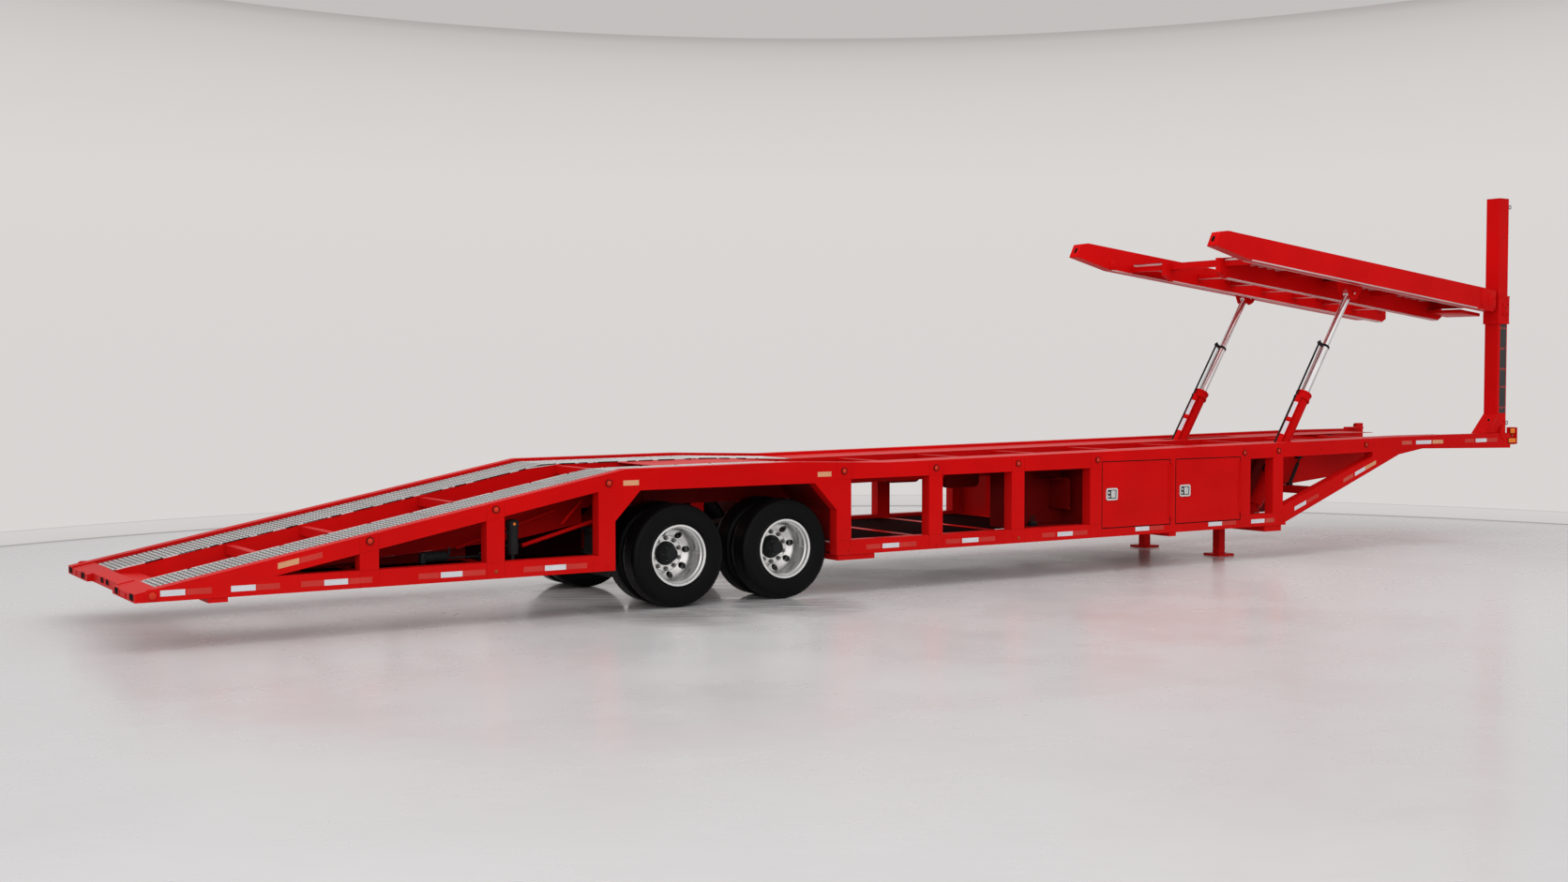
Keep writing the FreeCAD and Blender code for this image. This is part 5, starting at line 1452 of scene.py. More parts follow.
    def _cut(self, plate: Shape, centre: Point) -> Mesh:
        """Cut the hand holes out of a disc."""
        x, y, z = centre
        drills = Shape()
        for middle in circle((x, z), self.hand_circle, self.hand_holes, tau * 0.18 / self.hand_holes):
            drills.prism(circle(middle, self.hand_radius, 20), "y", y - 0.2, y + 0.2)
        block = bpy.data.objects.new("disc", plate.mesh("disc"))
        drill = bpy.data.objects.new("drills", drills.mesh("drills"))
        for obj in (block, drill):
            bpy.context.scene.collection.objects.link(obj)
        cut = block.modifiers.new("holes", "BOOLEAN")
        cut.operation, cut.object, cut.solver = "DIFFERENCE", drill, "EXACT"
        bpy.context.view_layer.update()
        made = bpy.data.meshes.new_from_object(block.evaluated_get(bpy.context.evaluated_depsgraph_get()))
        for obj in (block, drill):
            bpy.data.objects.remove(obj)
        return made

    def _hub(self, shape: Shape, centre: Point) -> None:
        """Hub with its stepped cap, and the brake drum behind the disc; a flange and a thin ring paint shade.
        """
        # The flange of radius 0.244 is painted shade: a black ring behind the hand holes, seen through them
        hub = [(0.0, 0.0), (0.0, 0.18), (0.0125, 0.182), (0.034, 0.182), (0.036, 0.244), (0.059, 0.244),
               (0.06, 0.206), (0.07, 0.21), (0.22, 0.21), (0.23, 0.206), (0.23, 0.0462), (0.0594, 0.0462),
               (0.0594, 0.0)]
        cap = [(0.0, 0.0), (0.0, 0.092), (-0.0118, 0.092), (-0.0118, 0.116), (-0.018, 0.1175),
               (-0.023, 0.115), (-0.025, 0.106), (-0.085, 0.088), (-0.0915, 0.08), (-0.1, 0.078),
               (-0.104, 0.074), (-0.104, 0.07), (-0.135, 0.067), (-0.146, 0.06), (-0.15, 0.045),
               (-0.15, 0.0)]
        shape.lathe(hub, centre, "y", 48)
        shape.lathe(cap, centre, "y", 48)
        # A thin black ring on the disc face paints the shade line round the bolt flange
        shape.lathe([(-0.0118, 0.1715), (-0.0118, 0.176), (-0.0128, 0.1755), (-0.0128, 0.172)], centre, "y",
                    64)
        shape.paint = 1
        for x, z in circle((centre[0], centre[2]), self.cap_circle, self.cap_bolts):
            shape.rod((x, centre[1] - 0.1, z), (x, centre[1] - 0.1085, z), 0.0055, 6)
        for x, z in self._studs(centre[0], centre[2]):
            shape.rod((x, centre[1] - 0.01, z), (x, centre[1] - 0.052, z), 0.0105, 12, 0.002)
        shape.paint = 0


# ---- Lamps and tapes on the side frames ----

@dataclass
class SideLamps(Fittings):
    """Round marker lamps on the posts' lines, small dots under them, and bolts by them."""

    markers: tuple[Flat, ...] = (
        (-3.096, 0.056), (-1.923, 0.064), (-0.785, 0.09), (1.898, 0.09), (3.083, 0.083),
        (4.217, 0.083), (5.388, 0.09), (7.776, 0.098), (8.372, 0.095), (9.998, 0.079),
    )
    amber_dots: tuple[Flat, ...] = ((-1.923, 0.471), (4.228, 0.46))
    bolts: tuple[Flat, ...] = ((-0.8, 0.462), (1.955, 0.45), (3.093, 0.452), (10.126, 1.35), (3.62, 1.3),
                               (9.15, 1.33), (8.42, 0.47), (7.706, 0.462))

    def build(self) -> None:
        """Make the lamps and bolts of both sides."""
        look = self.look
        groups = (
            ("marker_lamps", [(s, self.datum.top(s) - d) for s, d in self.markers], self.repeats.domes,
             look.red_lens, Slot.RED,
             {"Radius": 0.0255, "Height": 0.019, "Bezel_Radius": 0.033, "Bezel_Height": 0.008}),
            ("amber_dots", list(self.amber_dots), self.repeats.domes, look.dot_lens, Slot.RED,
             {"Radius": 0.013, "Height": 0.01, "Bezel_Radius": 0.017, "Bezel_Height": 0.004}),
            ("frame_bolts", list(self.bolts), self.repeats.bolts, look.red, Slot.RED,
             {"Head_Radius": 0.009, "Head_Height": 0.006, "Washer_Radius": 0.013, "Washer_Height": 0.002}),
        )
        for name, places, tree, material, slot, sizes in groups:
            points, facings = [], []
            for side in Side:
                points += [(self.x(s), side.value * (self.datum.face - 0.0005), z) for s, z in places]
                facings += [OUT[side]] * len(places)
            mesh = tree.run(points_host(points, facings), material, **sizes)
            self.shop.put(name, mesh, slot=slot)
        rings = Shape()
        for station, drop in self.markers:
            rings.lathe([(-0.0005, 0.025), (-0.01, 0.0265), (-0.012, 0.0295), (-0.01, 0.0335),
                        (-0.0005, 0.0345)], (self.x(station), -self.datum.face,
                        self.datum.top(station) - drop), "y", 24)
        self.shop.put("lamp_grommets", rings.mirrored(), look.grommet, slot=Slot.RUBBER)


class TapeLine(Enum):
    """Where a strip of tape runs."""

    RAIL = "along the bottom rail"
    RAMP = "along the ramp's top rail"
    ARCH = "over the wheels"
    BRACE = "up the neck's brace"
    NECK = "along the neck"


Strips = dict[TapeLine, list[Flat]]


@dataclass
class SideTapes(Fittings):
    """Reflective tape on both side frames."""

    tall: float = 0.049
    thick: float = 0.0007
    white: Strips = field(default_factory=lambda: {
        TapeLine.RAIL: [(-4.852, -4.654), (-4.285, -4.082), (-3.5, -3.293), (-2.452, -2.247),
            (-1.444, -1.229), (2.384, 2.599), (3.438, 3.662), (4.79, 5.017), (5.979, 6.198),
            (7.167, 7.396), (7.899, 8.134)],
        TapeLine.BRACE: [(8.669, 8.88), (9.79, 9.984)],
        TapeLine.NECK: [(10.99, 11.302), (12.239, 12.476)],
    })
    red: Strips = field(default_factory=lambda: {
        TapeLine.RAIL: [(-4.644, -4.442), (-4.079, -3.879), (-3.699, -3.507), (-3.282, -3.078),
            (-2.658, -2.466), (-2.243, -2.028), (-1.655, -1.459), (-1.224, -1.014), (2.181, 2.36),
            (2.604, 2.824), (3.217, 3.413), (3.667, 3.893), (4.568, 4.758), (5.022, 5.238), (6.203, 6.43),
            (7.401, 7.637)],
        TapeLine.RAMP: [(-3.71, -3.513)],
        TapeLine.BRACE: [(8.901, 9.107)],
        TapeLine.NECK: [(12.481, 12.71), (12.006, 12.207)],
    })
    amber: Strips = field(default_factory=lambda: {
        TapeLine.RAMP: [(-3.895, -3.715)],
        TapeLine.ARCH: [(-0.633, -0.467), (1.574, 1.74)],
        TapeLine.BRACE: [(9.99, 10.194)],
        TapeLine.NECK: [(11.329, 11.547)],
    })
    faded: Strips = field(default_factory=lambda: {
        TapeLine.BRACE: [(9.573, 9.758)],
        TapeLine.NECK: [(10.706, 10.906)],
        TapeLine.RAIL: [(8.153, 8.304)],
    })

    def middle(self, line: TapeLine, station: float) -> float:
        """Height of a strip's middle at a station."""
        if line is TapeLine.RAIL:
            return self.datum.low + 0.067
        if line is TapeLine.RAMP:
            return self.datum.top(station) - 0.068
        if line is TapeLine.ARCH:
            return 1.224 if station < 0.6 else 1.237
        if line is TapeLine.BRACE:
            lower = 0.44 + (station - 8.51) * 0.36215
            upper = 0.635 + (station - 8.458) * 0.33672
            return (lower + upper) / 2 - 0.008
        return 1.362

    def build(self) -> None:
        """Make one piece for each colour."""
        look = self.look
        for name, strips, material in (
            ("white_tapes", self.white, look.white_tape), ("red_tapes", self.red, look.red_tape),
            ("amber_tapes", self.amber, look.amber_tape), ("faded_tapes", self.faded, look.faded_tape),
        ):
            shape = Shape()
            for line, (back, front) in ((line, ends) for line, many in strips.items() for ends in many):
                low, high = self.middle(line, back), self.middle(line, front)
                outline = [(self.x(s), z + d) for s, z, d in (
                    (back, low, -self.tall / 2), (front, high, -self.tall / 2),
                    (front, high, self.tall / 2), (back, low, self.tall / 2))]
                shape.prism(outline, "y", -self.datum.face - self.thick, -self.datum.face + 0.0005)
            self.shop.put(name, shape.mirrored(), material)


@dataclass
class WeldSeams(Fittings):
    """Thin weld lines where posts meet rails, on the side frames' outer faces."""

    rail_high: float = 0.555
    posts: tuple[tuple[float, float, float], ...] = (
        (-3.186, -3.015, 0.0), (-2.013, -1.84, 0.0), (1.808, 1.988, 1.178), (2.993, 3.173, 1.183),
        (4.127, 4.307, 1.188), (5.277, 5.457, 1.194), (8.278, 8.458, 1.23))

    def build(self) -> None:
        """Sweep beads along both edges of each post, and across its ends."""
        lines: list[list[Point]] = []
        for side in Side:
            y = side.value * self.datum.face
            for back, front, _ in self.posts:
                for station in (back, front):
                    x = self.x(station)
                    lines.append([(x, y, self.datum.low + 0.004), (x, y, self.rail_high - 0.002)])
                    head = self._head(station)
                    lines.append([(x, y, head + 0.002), (x, y, self.datum.top(station) - 0.004)])
                lines.append([(self.x(back), y, self.rail_high), (self.x(front), y, self.rail_high)])
                lines.append([(self.x(back), y, self._head(back)), (self.x(front), y, self._head(front))])
        mesh = self.repeats.beads.run(lines_host(lines), self.look.weld, Radius=0.0016, Step=0.011,
                                      Ripple=0.0008)
        self.shop.put("frame_welds", mesh, angle=60.0)

    def _head(self, station: float) -> float:
        """Height of the rail's underside at a station."""
        if station < -1.0:
            return self.datum.top(station) - 0.146
        if station < 6.0:
            return 1.178 + (station - 1.988) * (1.194 - 1.178) / (5.457 - 1.988)
        return 1.226 + (station - 7.706) * (1.259 - 1.226) / (10.13 - 7.706)


# ---- Toolbox doors ----

@dataclass
class DoorLatch(Fittings):
    """Recessed paddle latch of one toolbox door: bright frame, dark dish, paddle and keyhole."""

    name: str
    side: Side
    inset: float = 0.052
    size: Flat = (0.176, 0.138)
    above: float = 0.378
    rim: float = 0.02
    seal_wide: float = 0.01
    seal_gap: float = 0.0005

    def build(self) -> None:
        """Make the latch on its door."""
        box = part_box(f"toolbox_door_{self.name}_{self.side.word}")
        face = self.datum.face
        left = box[0].x + self.inset
        middle = box[0].z + self.above
        low, high = (left, middle - self.size[1] / 2), (left + self.size[0], middle + self.size[1] / 2)
        rim = self.rim
        inner_low, inner_high = (low[0] + rim, low[1] + rim), (high[0] - rim, high[1] - rim)
        look = self.look
        body = f"{self.name}_{self.side.word}_door"
        shape = Shape()
        ring_between(shape, rounded(low, high, 0.024, 6), rounded(inner_low, inner_high, 0.012, 6), "y",
                     -face - 0.011, -face + 0.001)
        shape.paint = 1
        shape.skin(rounded(inner_low, inner_high, 0.012, 6), -face, 0.0015)
        shape.paint = 2
        paddle = rounded((inner_low[0] + 0.058, inner_low[1] + 0.008),
                         (inner_high[0] - 0.01, inner_high[1] - 0.008), 0.012, 5)
        shape.prism(paddle, "y", -face - 0.0085, -face - 0.001, 0.0015)
        for k in range(3):
            z = inner_low[1] + 0.022 + k * 0.026
            shape.box((inner_low[0] + 0.066, -face - 0.0105, z),
                      (inner_high[0] - 0.02, -face - 0.008, z + 0.006), 0.001)
        shape.lathe([(0.0, 0.0), (0.0, 0.013), (-0.008, 0.012), (-0.009, 0.004), (-0.006, 0.0)],
                    (inner_low[0] + 0.026, -face - 0.001, middle + 0.018), "y", 20)
        shape.box((inner_low[0] + 0.012, -face - 0.006, middle - 0.036),
                  (inner_low[0] + 0.04, -face - 0.001, middle - 0.014), 0.002)
        shape.paint = 0
        for x in (low[0] + 0.01, high[0] - 0.01):
            for z in (low[1] + 0.012, high[1] - 0.012):
                shape.rod((x, -face - 0.0105, z), (x, -face - 0.0125, z), 0.0045, 10)
        self.shop.put(f"latch_{self.name}_{self.side.word}", shape.flipped(self.side), look.latch,
                      look.casing, look.latch, body=body, slot=Slot.WHEEL)
        seal, low, high = Shape(), (box[0].x, box[0].z), (box[1].x - 0.017, box[1].z)
        ring_between(seal, rounded(low, high, 0.004, 2, self.seal_wide),
                     rounded(low, high, 0.003, 2, self.seal_gap), "y", -face - 0.0008, -face + 0.002)
        self.shop.put(f"door_seal_{self.name}_{self.side.word}", seal.flipped(self.side), look.void,
                      slot=Slot.RUBBER)


# ---- Tail and nose ----

@dataclass
class TailFittings(Fittings):
    """Slots in the rear beam, oval openings between them, and a lamp in its bracket on each side."""

    slot: Flat = (0.14, 0.054)
    slots: tuple[float, ...] = (1.185, 0.66)
    oval: Flat = (0.12, 0.048)
    lamp_in: float = 0.136
    bracket: Flat = (0.118, 0.104)

    def build(self) -> None:
        """Make the pieces at the rear end."""
        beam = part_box("tail_beam")
        back, look = beam[0].x, self.look
        shape = Shape()
        for y in self.slots:
            self._opening(shape, (-y, self.datum.low + 0.04), self.slot, 0.012, back)
        self._opening(shape, (-0.1, self.datum.low + 0.05), self.oval, 0.022, back + 0.046)
        self.shop.put("tail_openings", shape.mirrored(), look.red, look.void)
        face, x, z = self.datum.face, back + self.lamp_in, self.datum.low + 0.054
        bracket = Shape()
        low, high = (x - self.bracket[0] / 2,
                     z - self.bracket[1] / 2), (x + self.bracket[0] / 2, z + self.bracket[1] / 2)
        bracket.skin(rounded(low, high, 0.034, 6), -face, 0.006, 0.002)
        bracket.lathe([(-0.005, 0.03), (-0.012, 0.031), (-0.015, 0.035), (-0.012, 0.039), (-0.005, 0.04)],
                      (x, -face, z), "y", 32)
        bracket.paint = 1
        bracket.lathe([(-0.0055, 0.0), (-0.0055, 0.03), (-0.011, 0.03), (-0.0165, 0.023), (-0.02, 0.012),
                      (-0.021, 0.0)], (x, -face, z), "y", 32)
        self.shop.put("tail_lamps", bracket.mirrored(), look.red, look.red_lens)
        apron = Shape().box((beam[1].x - 0.005, -0.498, self.datum.low + 0.052),
                            (beam[1].x + 0.24, 0.498, self.datum.low + 0.058))
        self.shop.put("tail_apron", apron, look.red)
        stub = Shape()
        for y in (-0.965, -0.745):
            stub.box((back - 0.006, y - 0.012, self.datum.low + 0.006),
                     (back + 0.001, y + 0.012, self.datum.low + 0.052), 0.003)
        self.shop.put("tail_ribs", stub.mirrored(), look.red)

    def _opening(self, shape: Shape, middle: Flat, size: Flat, radius: float, back: float) -> None:
        """A raised lip round an opening on a face across X, with a dark plate of painted shade for its depth.
        """
        low, high = (middle[0] - size[0] / 2,
                     middle[1] - size[1] / 2), (middle[0] + size[0] / 2, middle[1] + size[1] / 2)
        rim = 0.006
        outer = rounded(low, high, radius + rim, 5, rim)
        inner = rounded(low, high, radius, 5)
        shape.paint = 0
        ring_between(shape, outer, inner, "x", back - 0.003, back + 0.001)
        shape.paint = 1
        shape.prism(inner, "x", back - 0.0008, back + 0.001)
        shape.paint = 0


@dataclass
class NoseFittings(Fittings):
    """Lamps at the front corner, a half-round plate, and the post's fittings."""

    rack: tuple[float, float, float] = (0.136, 1.722, 2.926)
    rack_inset: float = 0.014
    eyes: tuple[float, ...] = (4.517, 1.588)
    eye_radius: float = 0.024
    rubbed_and_highlight: tuple[float, ...] = (2.87, 2.596, 2.324, 2.08, 1.8)

    def build(self) -> None:
        """Make the pieces on the chassis at the front."""
        self._lamps()
        self._plates()
        self._rack()
        self._eyes()

    def _lamps(self) -> None:
        """Amber lamps in dark housings on the corner bracket."""
        look, corner = self.look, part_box("top_rail_right")
        front, face = corner[1].x, self.datum.face
        high = corner[1].z
        shape = Shape()
        for (back, ahead), (low, top) in (((-0.125, -0.039), (-0.079, -0.014)),
                                          ((-0.16, -0.016), (-0.208, -0.149))):
            box_low, box_high = (front + back, high + low), (front + ahead, high + top)
            shape.paint = 0
            shape.skin(rounded(box_low, box_high, 0.01, 4, grow=0.006), -face, 0.006, 0.0015)
            shape.paint = 1
            shape.prism(rounded(box_low, box_high, 0.008, 4), "y", -face - 0.022, -face - 0.004, 0.005)
        shape.paint = 0
        shape.skin(circle((front - 0.08, high - 0.108), 0.019, 20), -face, 0.007, 0.002)
        shape.paint = 2
        shape.lathe([(-0.006, 0.0), (-0.006, 0.0145), (-0.012, 0.013), (-0.016, 0.007), (-0.017, 0.0)],
                    (front - 0.08, -face, high - 0.108), "y", 20)
        self.shop.put("corner_lamps", shape.mirrored(), look.casing, look.amber_lens, look.brown_lens,
                      slot=Slot.BLACK)
        hood = Shape()
        hood.box((front - 0.008, -face - 0.03, high - 0.228), (front, -face + 0.002, high - 0.004), 0.002)
        hood.box((front - 0.1, -face - 0.016, high - 0.008), (front - 0.004, -face + 0.002, high), 0.002)
        self.shop.put("lamp_hoods", hood.mirrored(), look.red)

    def _plates(self) -> None:
        """Half-round plate on the rail, doubler on the gusset, and a cap on the post."""
        look, post = self.look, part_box("front_post")
        face, low = self.datum.face, self.datum.top(12.9)
        centre = (post[1].x - 0.06, low + 0.004)
        shape = Shape()
        shape.skin(circle(centre, 0.1, 28, pi * 0.5, pi), -face, 0.006, 0.002)
        outer = abs(post[0].y)
        toe, heel = post[0].x + 0.03, post[1].x - 0.214
        shape.skin([(toe, low + 0.004), (heel + 0.02, low + 0.004), (heel + 0.02, low + 0.23),
                   (heel - 0.006, low + 0.236)], -outer, 0.005, 0.002)
        shape.skin([(toe + 0.075, low + 0.002), (toe + 0.09, low + 0.002), (heel + 0.04, low + 0.14),
                   (heel + 0.04, low + 0.17)], -outer, 0.009, 0.002)
        top = post[1].z
        shape.prism(rounded((post[1].x - 0.203, -outer - 0.003), (post[1].x + 0.003, -outer + 0.203), 0.012,
                    5), "z", top - 0.001, top + 0.005, 0.002)
        self.shop.put("post_plates", shape, look.red)
        # Dark discs that paint the shade in the post's holes
        dots = Shape()
        dots.skin(circle((post[1].x - 0.092, top - 0.523), 0.01, 20), -outer, 0.0003)
        dots.skin(circle((toe + 0.056, low + 0.182), 0.017, 20), -outer, 0.0056)
        dots.skin(circle((post[1].x - 0.055, low + 0.165), 0.008, 16), -outer, 0.0006)
        self.shop.put("post_holes", dots, look.void)
        lines = [[(post[1].x - 0.2, -outer + y, low + 0.001),
                 (post[1].x, -outer + y, low + 0.001)] for y in (0.0, 0.2)]
        weld = self.repeats.beads.run(lines_host(lines), look.weld, Radius=0.005, Step=0.012, Ripple=0.002)
        self.shop.put("post_welds", weld, angle=60.0)

    def _rack(self) -> None:
        """The dark strip that the sleeve's catches rub on."""
        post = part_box("front_post")
        material = RackStrip("rack_primer", self.rubbed_and_highlight).make(self.look.effects)
        front, face = post[1].x - self.rack_inset, post[0].y
        wide, low, high = self.rack
        shape = Shape().box((front - wide, face - 0.00025, low), (front, face + 0.001, high))
        self.shop.put("rack_strip", shape, material, slot=Slot.BLACK)

    def _eyes(self) -> None:
        """Ring bolts on the post's front face."""
        look, post = self.look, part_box("front_post")
        y = post[0].y + 0.032
        shape = Shape()
        for z in self.eyes:
            x = post[1].x
            shape.lathe([(0.0, 0.0), (0.0, 0.021), (0.008, 0.021), (0.01, 0.012), (0.04, 0.011),
                        (0.04, 0.0)], (x - 0.001, y, z), "x", 20)
            ring = [Vector((a, y, b)) for a, b in circle((x + 0.07, z), self.eye_radius, 28)]
            shape.loop(ring, 0.0065, 10)
        self.shop.put("post_eyes", shape, look.steel, slot=Slot.BARE)


@dataclass
class SleeveFittings(Fittings):
    """Catch plate, hole and bolts on the sleeve that slides on the post."""

    def build(self) -> None:
        """Make the sleeve's pieces."""
        look, box = self.look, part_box("post_sleeve")
        outer, front = box[0].y, box[1].x
        back = front - 0.236
        low, high = box[0].z, box[1].z
        shape = Shape()
        for z in (low, high - 0.03):
            shape.box((back - 0.002, outer - 0.003, z), (front + 0.002, outer + 0.001, z + 0.03), 0.0012)
        shape.skin(rounded((front - 0.15, low + 0.11), (front - 0.03, high - 0.09), 0.012, 4), outer, 0.004,
                   0.0015)
        shape.box((front - 0.0005, outer + 0.06, low + 0.06), (front + 0.007, outer + 0.17, high - 0.06),
                  0.002)
        self.shop.put("sleeve_plates", shape, look.red, body=Body.SLEEVE)
        # A dark disc that paints the shade in the sleeve's hole
        hole = Shape().skin(circle((front - 0.086, low + 0.218), 0.009, 20), outer, 0.0046)
        self.shop.put("sleeve_hole", hole, look.void, body=Body.SLEEVE)
        points = [(x, outer - 0.002, z) for x in (front - 0.138, front - 0.044)
                  for z in (low + 0.135, high - 0.112)]
        bolts = self.repeats.bolts.run(points_host(points, [OUT[Side.RIGHT]] * 4), look.red,
                                       Head_Radius=0.008, Head_Height=0.006, Washer_Radius=0.012,
                                       Washer_Height=0.004)
        self.shop.put("sleeve_bolts", bolts, body=Body.SLEEVE)


# ---- Upper deck ----

@dataclass
class UpperDeckTrim(Fittings):
    """End caps, flange edges, plank edges, lap plates and bolts of the upper deck."""

    fall: float = 0.11
    depth: float = 0.293
    start: float = 0.198
    heel: float = 0.618
    toe: float = 0.06
    flange: float = 0.012
    tooth: float = 0.046
    ribs: int = 6
    opening: Flat = (5.69, 6.55)
    rib_long: float = 0.3
    rib_pitch: float = 0.152

    def __post_init__(self) -> None:
        """Read the boxes that everything is placed from."""
        self.beam, self.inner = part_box("upper_beam_right"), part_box("upper_inner_beams")
        self.runway, self.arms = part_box("upper_runways"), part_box("upper_cross_members")

    def top(self, x: float) -> float:
        """Height of an outer beam's top at x."""
        return self.beam[1].z - self.fall * (x - self.beam[0].x - self.start)

    def low(self, x: float) -> float:
        """Height of an outer beam's underside at x."""
        return self.top(x) - self.depth

    def along(self, shape: Shape, back: float, front: float, ys: Flat, zs: Flat,
              bevel: float = 0.0) -> None:
        """Add a bar that follows the beams' fall; zs are heights from the underside."""
        outline = [(back, self.low(back) + zs[0]), (front, self.low(front) + zs[0]),
                   (front, self.low(front) + zs[1]), (back, self.low(back) + zs[1])]
        shape.prism(outline, "y", min(ys), max(ys), bevel)

    def build(self) -> None:
        """Make the deck's pieces."""
        self._end_caps()
        self._flanges()
        self._ribs()
        self._planks()
        self._laps()

    def _end_caps(self) -> None:
        """A plate on each beam's slanted rear face, with a raised rim and a dark inset of painted shade for
        its opening.
        """
        look = self.look
        back, heel = self.beam[0].x, 0.082
        middle_x, middle_z = back + heel / 2, self.top(back + self.start) - 0.018 - 0.083
        angle = atan2(heel, 0.166)
        width = (self.beam[0].y + self.beam[1].y) / 2
        place = Matrix.Translation((middle_x, width, middle_z)) @ Matrix.Rotation(angle, 4, "Y")
        shape = Shape()
        plate = rounded((-0.073, -0.089), (0.073, 0.089), 0.008, 3)
        hole_low, hole_high = (-0.012, -0.034), (0.034, 0.036)
        hole = rounded(hole_low, hole_high, 0.01, 5)
        rim = rounded(hole_low, hole_high, 0.016, 5, grow=0.006)
        shape.prism(plate, "x", -0.003, 0.001, 0.001, place)
        ring_between(shape, rim, hole, "x", -0.006, -0.002, place)
        shape.paint = 1
        shape.prism(hole, "x", -0.0036, -0.002, 0.0, place)
        self.shop.put("deck_end_caps", shape.mirrored(), look.red, look.void, body=Body.DECK)

    def _flanges(self) -> None:
        """Pale strips under the outer and inner beams: painted highlights along the flanges' lower edges."""
        look = self.look
        back, front = self.beam[0].x + self.heel, self.beam[1].x - self.toe
        shape = Shape()
        outer, inner = self.beam[0].y, self.beam[1].y
        self.along(shape, back, front - 0.34, (outer - 0.0015, outer + 0.01), (-0.0025, self.flange), 0.001)
        self.along(shape, back, front - 0.34, (inner - 0.01, inner + 0.0015), (-0.0025, self.flange), 0.001)
        deep = 0.12
        for y in (self.inner[0].y, self.inner[0].y + 0.066):
            self.along(shape, self.inner[0].x + 0.13, self.inner[1].x - 0.095, (y - 0.0015, y + 0.0115),
                       (-deep - 0.0025, -deep + self.flange), 0.001)
        self.shop.put("deck_flanges", shape.mirrored(), look.rubbed_and_highlight, body=Body.DECK, slot=Slot.TREAD)

    def _ribs(self) -> None:
        """Light channels across the deck between the inner beams, with painted highlights along their lower
        edges.
        """
        look, shape = self.look, Shape()
        inside = self.inner[0].y + 0.078
        back, front = self.inner[0].x + 0.3, self.inner[1].x - 0.4
        step = (front - back) / self.ribs
        for k in range(self.ribs):
            x = back + (k + 0.5) * step
            shape.paint = 0
            self.along(shape, x - 0.03, x + 0.03, (inside, -inside), (-0.03, 0.04), 0.002)
            shape.paint = 1
            self.along(shape, x - 0.032, x - 0.026, (inside, -inside), (-0.034, -0.024), 0.001)
        self.shop.put("deck_ribs", shape, look.red, look.rubbed_and_highlight, body=Body.DECK)

    def _planks(self) -> None:
        """Toothed edges of the perforated planks, and the ribs under them."""
        look = self.look
        back, front = self.runway[0].x + 0.01, self.runway[1].x - 0.01
        shape, count = Shape(), 0
        edge = self.runway[0].y
        high = 0.1262
        x = back
        while x + self.tooth < front:
            if not self.opening[0] - 0.03 < x < self.opening[1]:
                wide = 0.013 if count % 2 else 0.004
                self.along(shape, x, x + self.tooth * 0.62, (edge - wide, edge + 0.004),
                           (high - 0.03, high + 0.003))
            x += self.tooth
            count += 1
        x = back + 0.02
        while x + self.rib_long < front:
            if not self.opening[0] - self.rib_long < x < self.opening[1]:
                self.along(shape, x, x + 0.02, (edge + 0.01, self.inner[0].y - 0.004),
                           (high - 0.032, high - 0.0065))
            x += self.rib_pitch
        self.shop.put("deck_planks", shape.mirrored(), look.tread, body=Body.DECK, slot=Slot.TREAD)

    def _laps(self) -> None:
        """Lap plates at the hinge end, stop plates at the rear and a few bolts."""
        look, outer = self.look, self.beam[0].y
        front = self.beam[1].x
        shape = Shape()
        self.along(shape, front - 0.335, front - 0.02, (outer - 0.006, outer + 0.001),
                   (0.03, self.depth - 0.02), 0.002)
        self.along(shape, front - 0.18, front - 0.026, (outer - 0.012, outer - 0.005),
                   (0.062, self.depth - 0.06), 0.003)
        heel = self.beam[0].x + self.heel
        for x in (heel, self.arms[0].x + 0.038, self.arms[1].x - 0.038):
            self.along(shape, x - 0.05, x + 0.05, (self.beam[1].y - 0.002, self.beam[1].y + 0.01),
                       (0.01, 0.13), 0.003)
        self.along(shape, front - 0.43, front - 0.006, (self.beam[1].y + 0.092, self.inner[0].y - 0.003),
                   (-0.052, -0.01), 0.003)
        self.shop.put("deck_laps", shape.mirrored(), look.red, body=Body.DECK)
        points, facings = [], []
        for side in Side:
            for x, up in ((front - 0.3, 0.06), (front - 0.052, 0.175), (front - 0.105, 0.09)):
                points.append((x, side.value * (abs(outer) + 0.0055), self.low(x) + up))
                facings.append(OUT[side])
            points.append((self.beam[0].x + 0.29, side.value * (abs(outer) - 0.04),
                          self.top(self.beam[0].x + 0.29) - 0.001))
            facings.append((0.0, self.fall, 0.0))
        bolts = self.repeats.bolts.run(points_host(points, facings), look.red, Head_Radius=0.01,
                                       Head_Height=0.008, Washer_Radius=0.015, Washer_Height=0.003)
        self.shop.put("deck_bolts", bolts, body=Body.DECK)
        pins = Shape()
        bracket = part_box("lift_brackets")
        x = bracket[0].x + 0.12
        z = bracket[0].z + 0.092
        for y in (-0.966, -0.774):
            turn = -1 if y < -0.87 else 1
            pins.lathe([(0.0, 0.0), (0.0, 0.013), (turn * 0.004, 0.013), (turn * 0.009, 0.008),
                       (turn * 0.01, 0.0)], (x, y, z), "y", 20)
        self.shop.put("bracket_pin_ends", pins.mirrored(), look.latch, body=Body.DECK, slot=Slot.BARE)


# ---- Lift cylinders ----

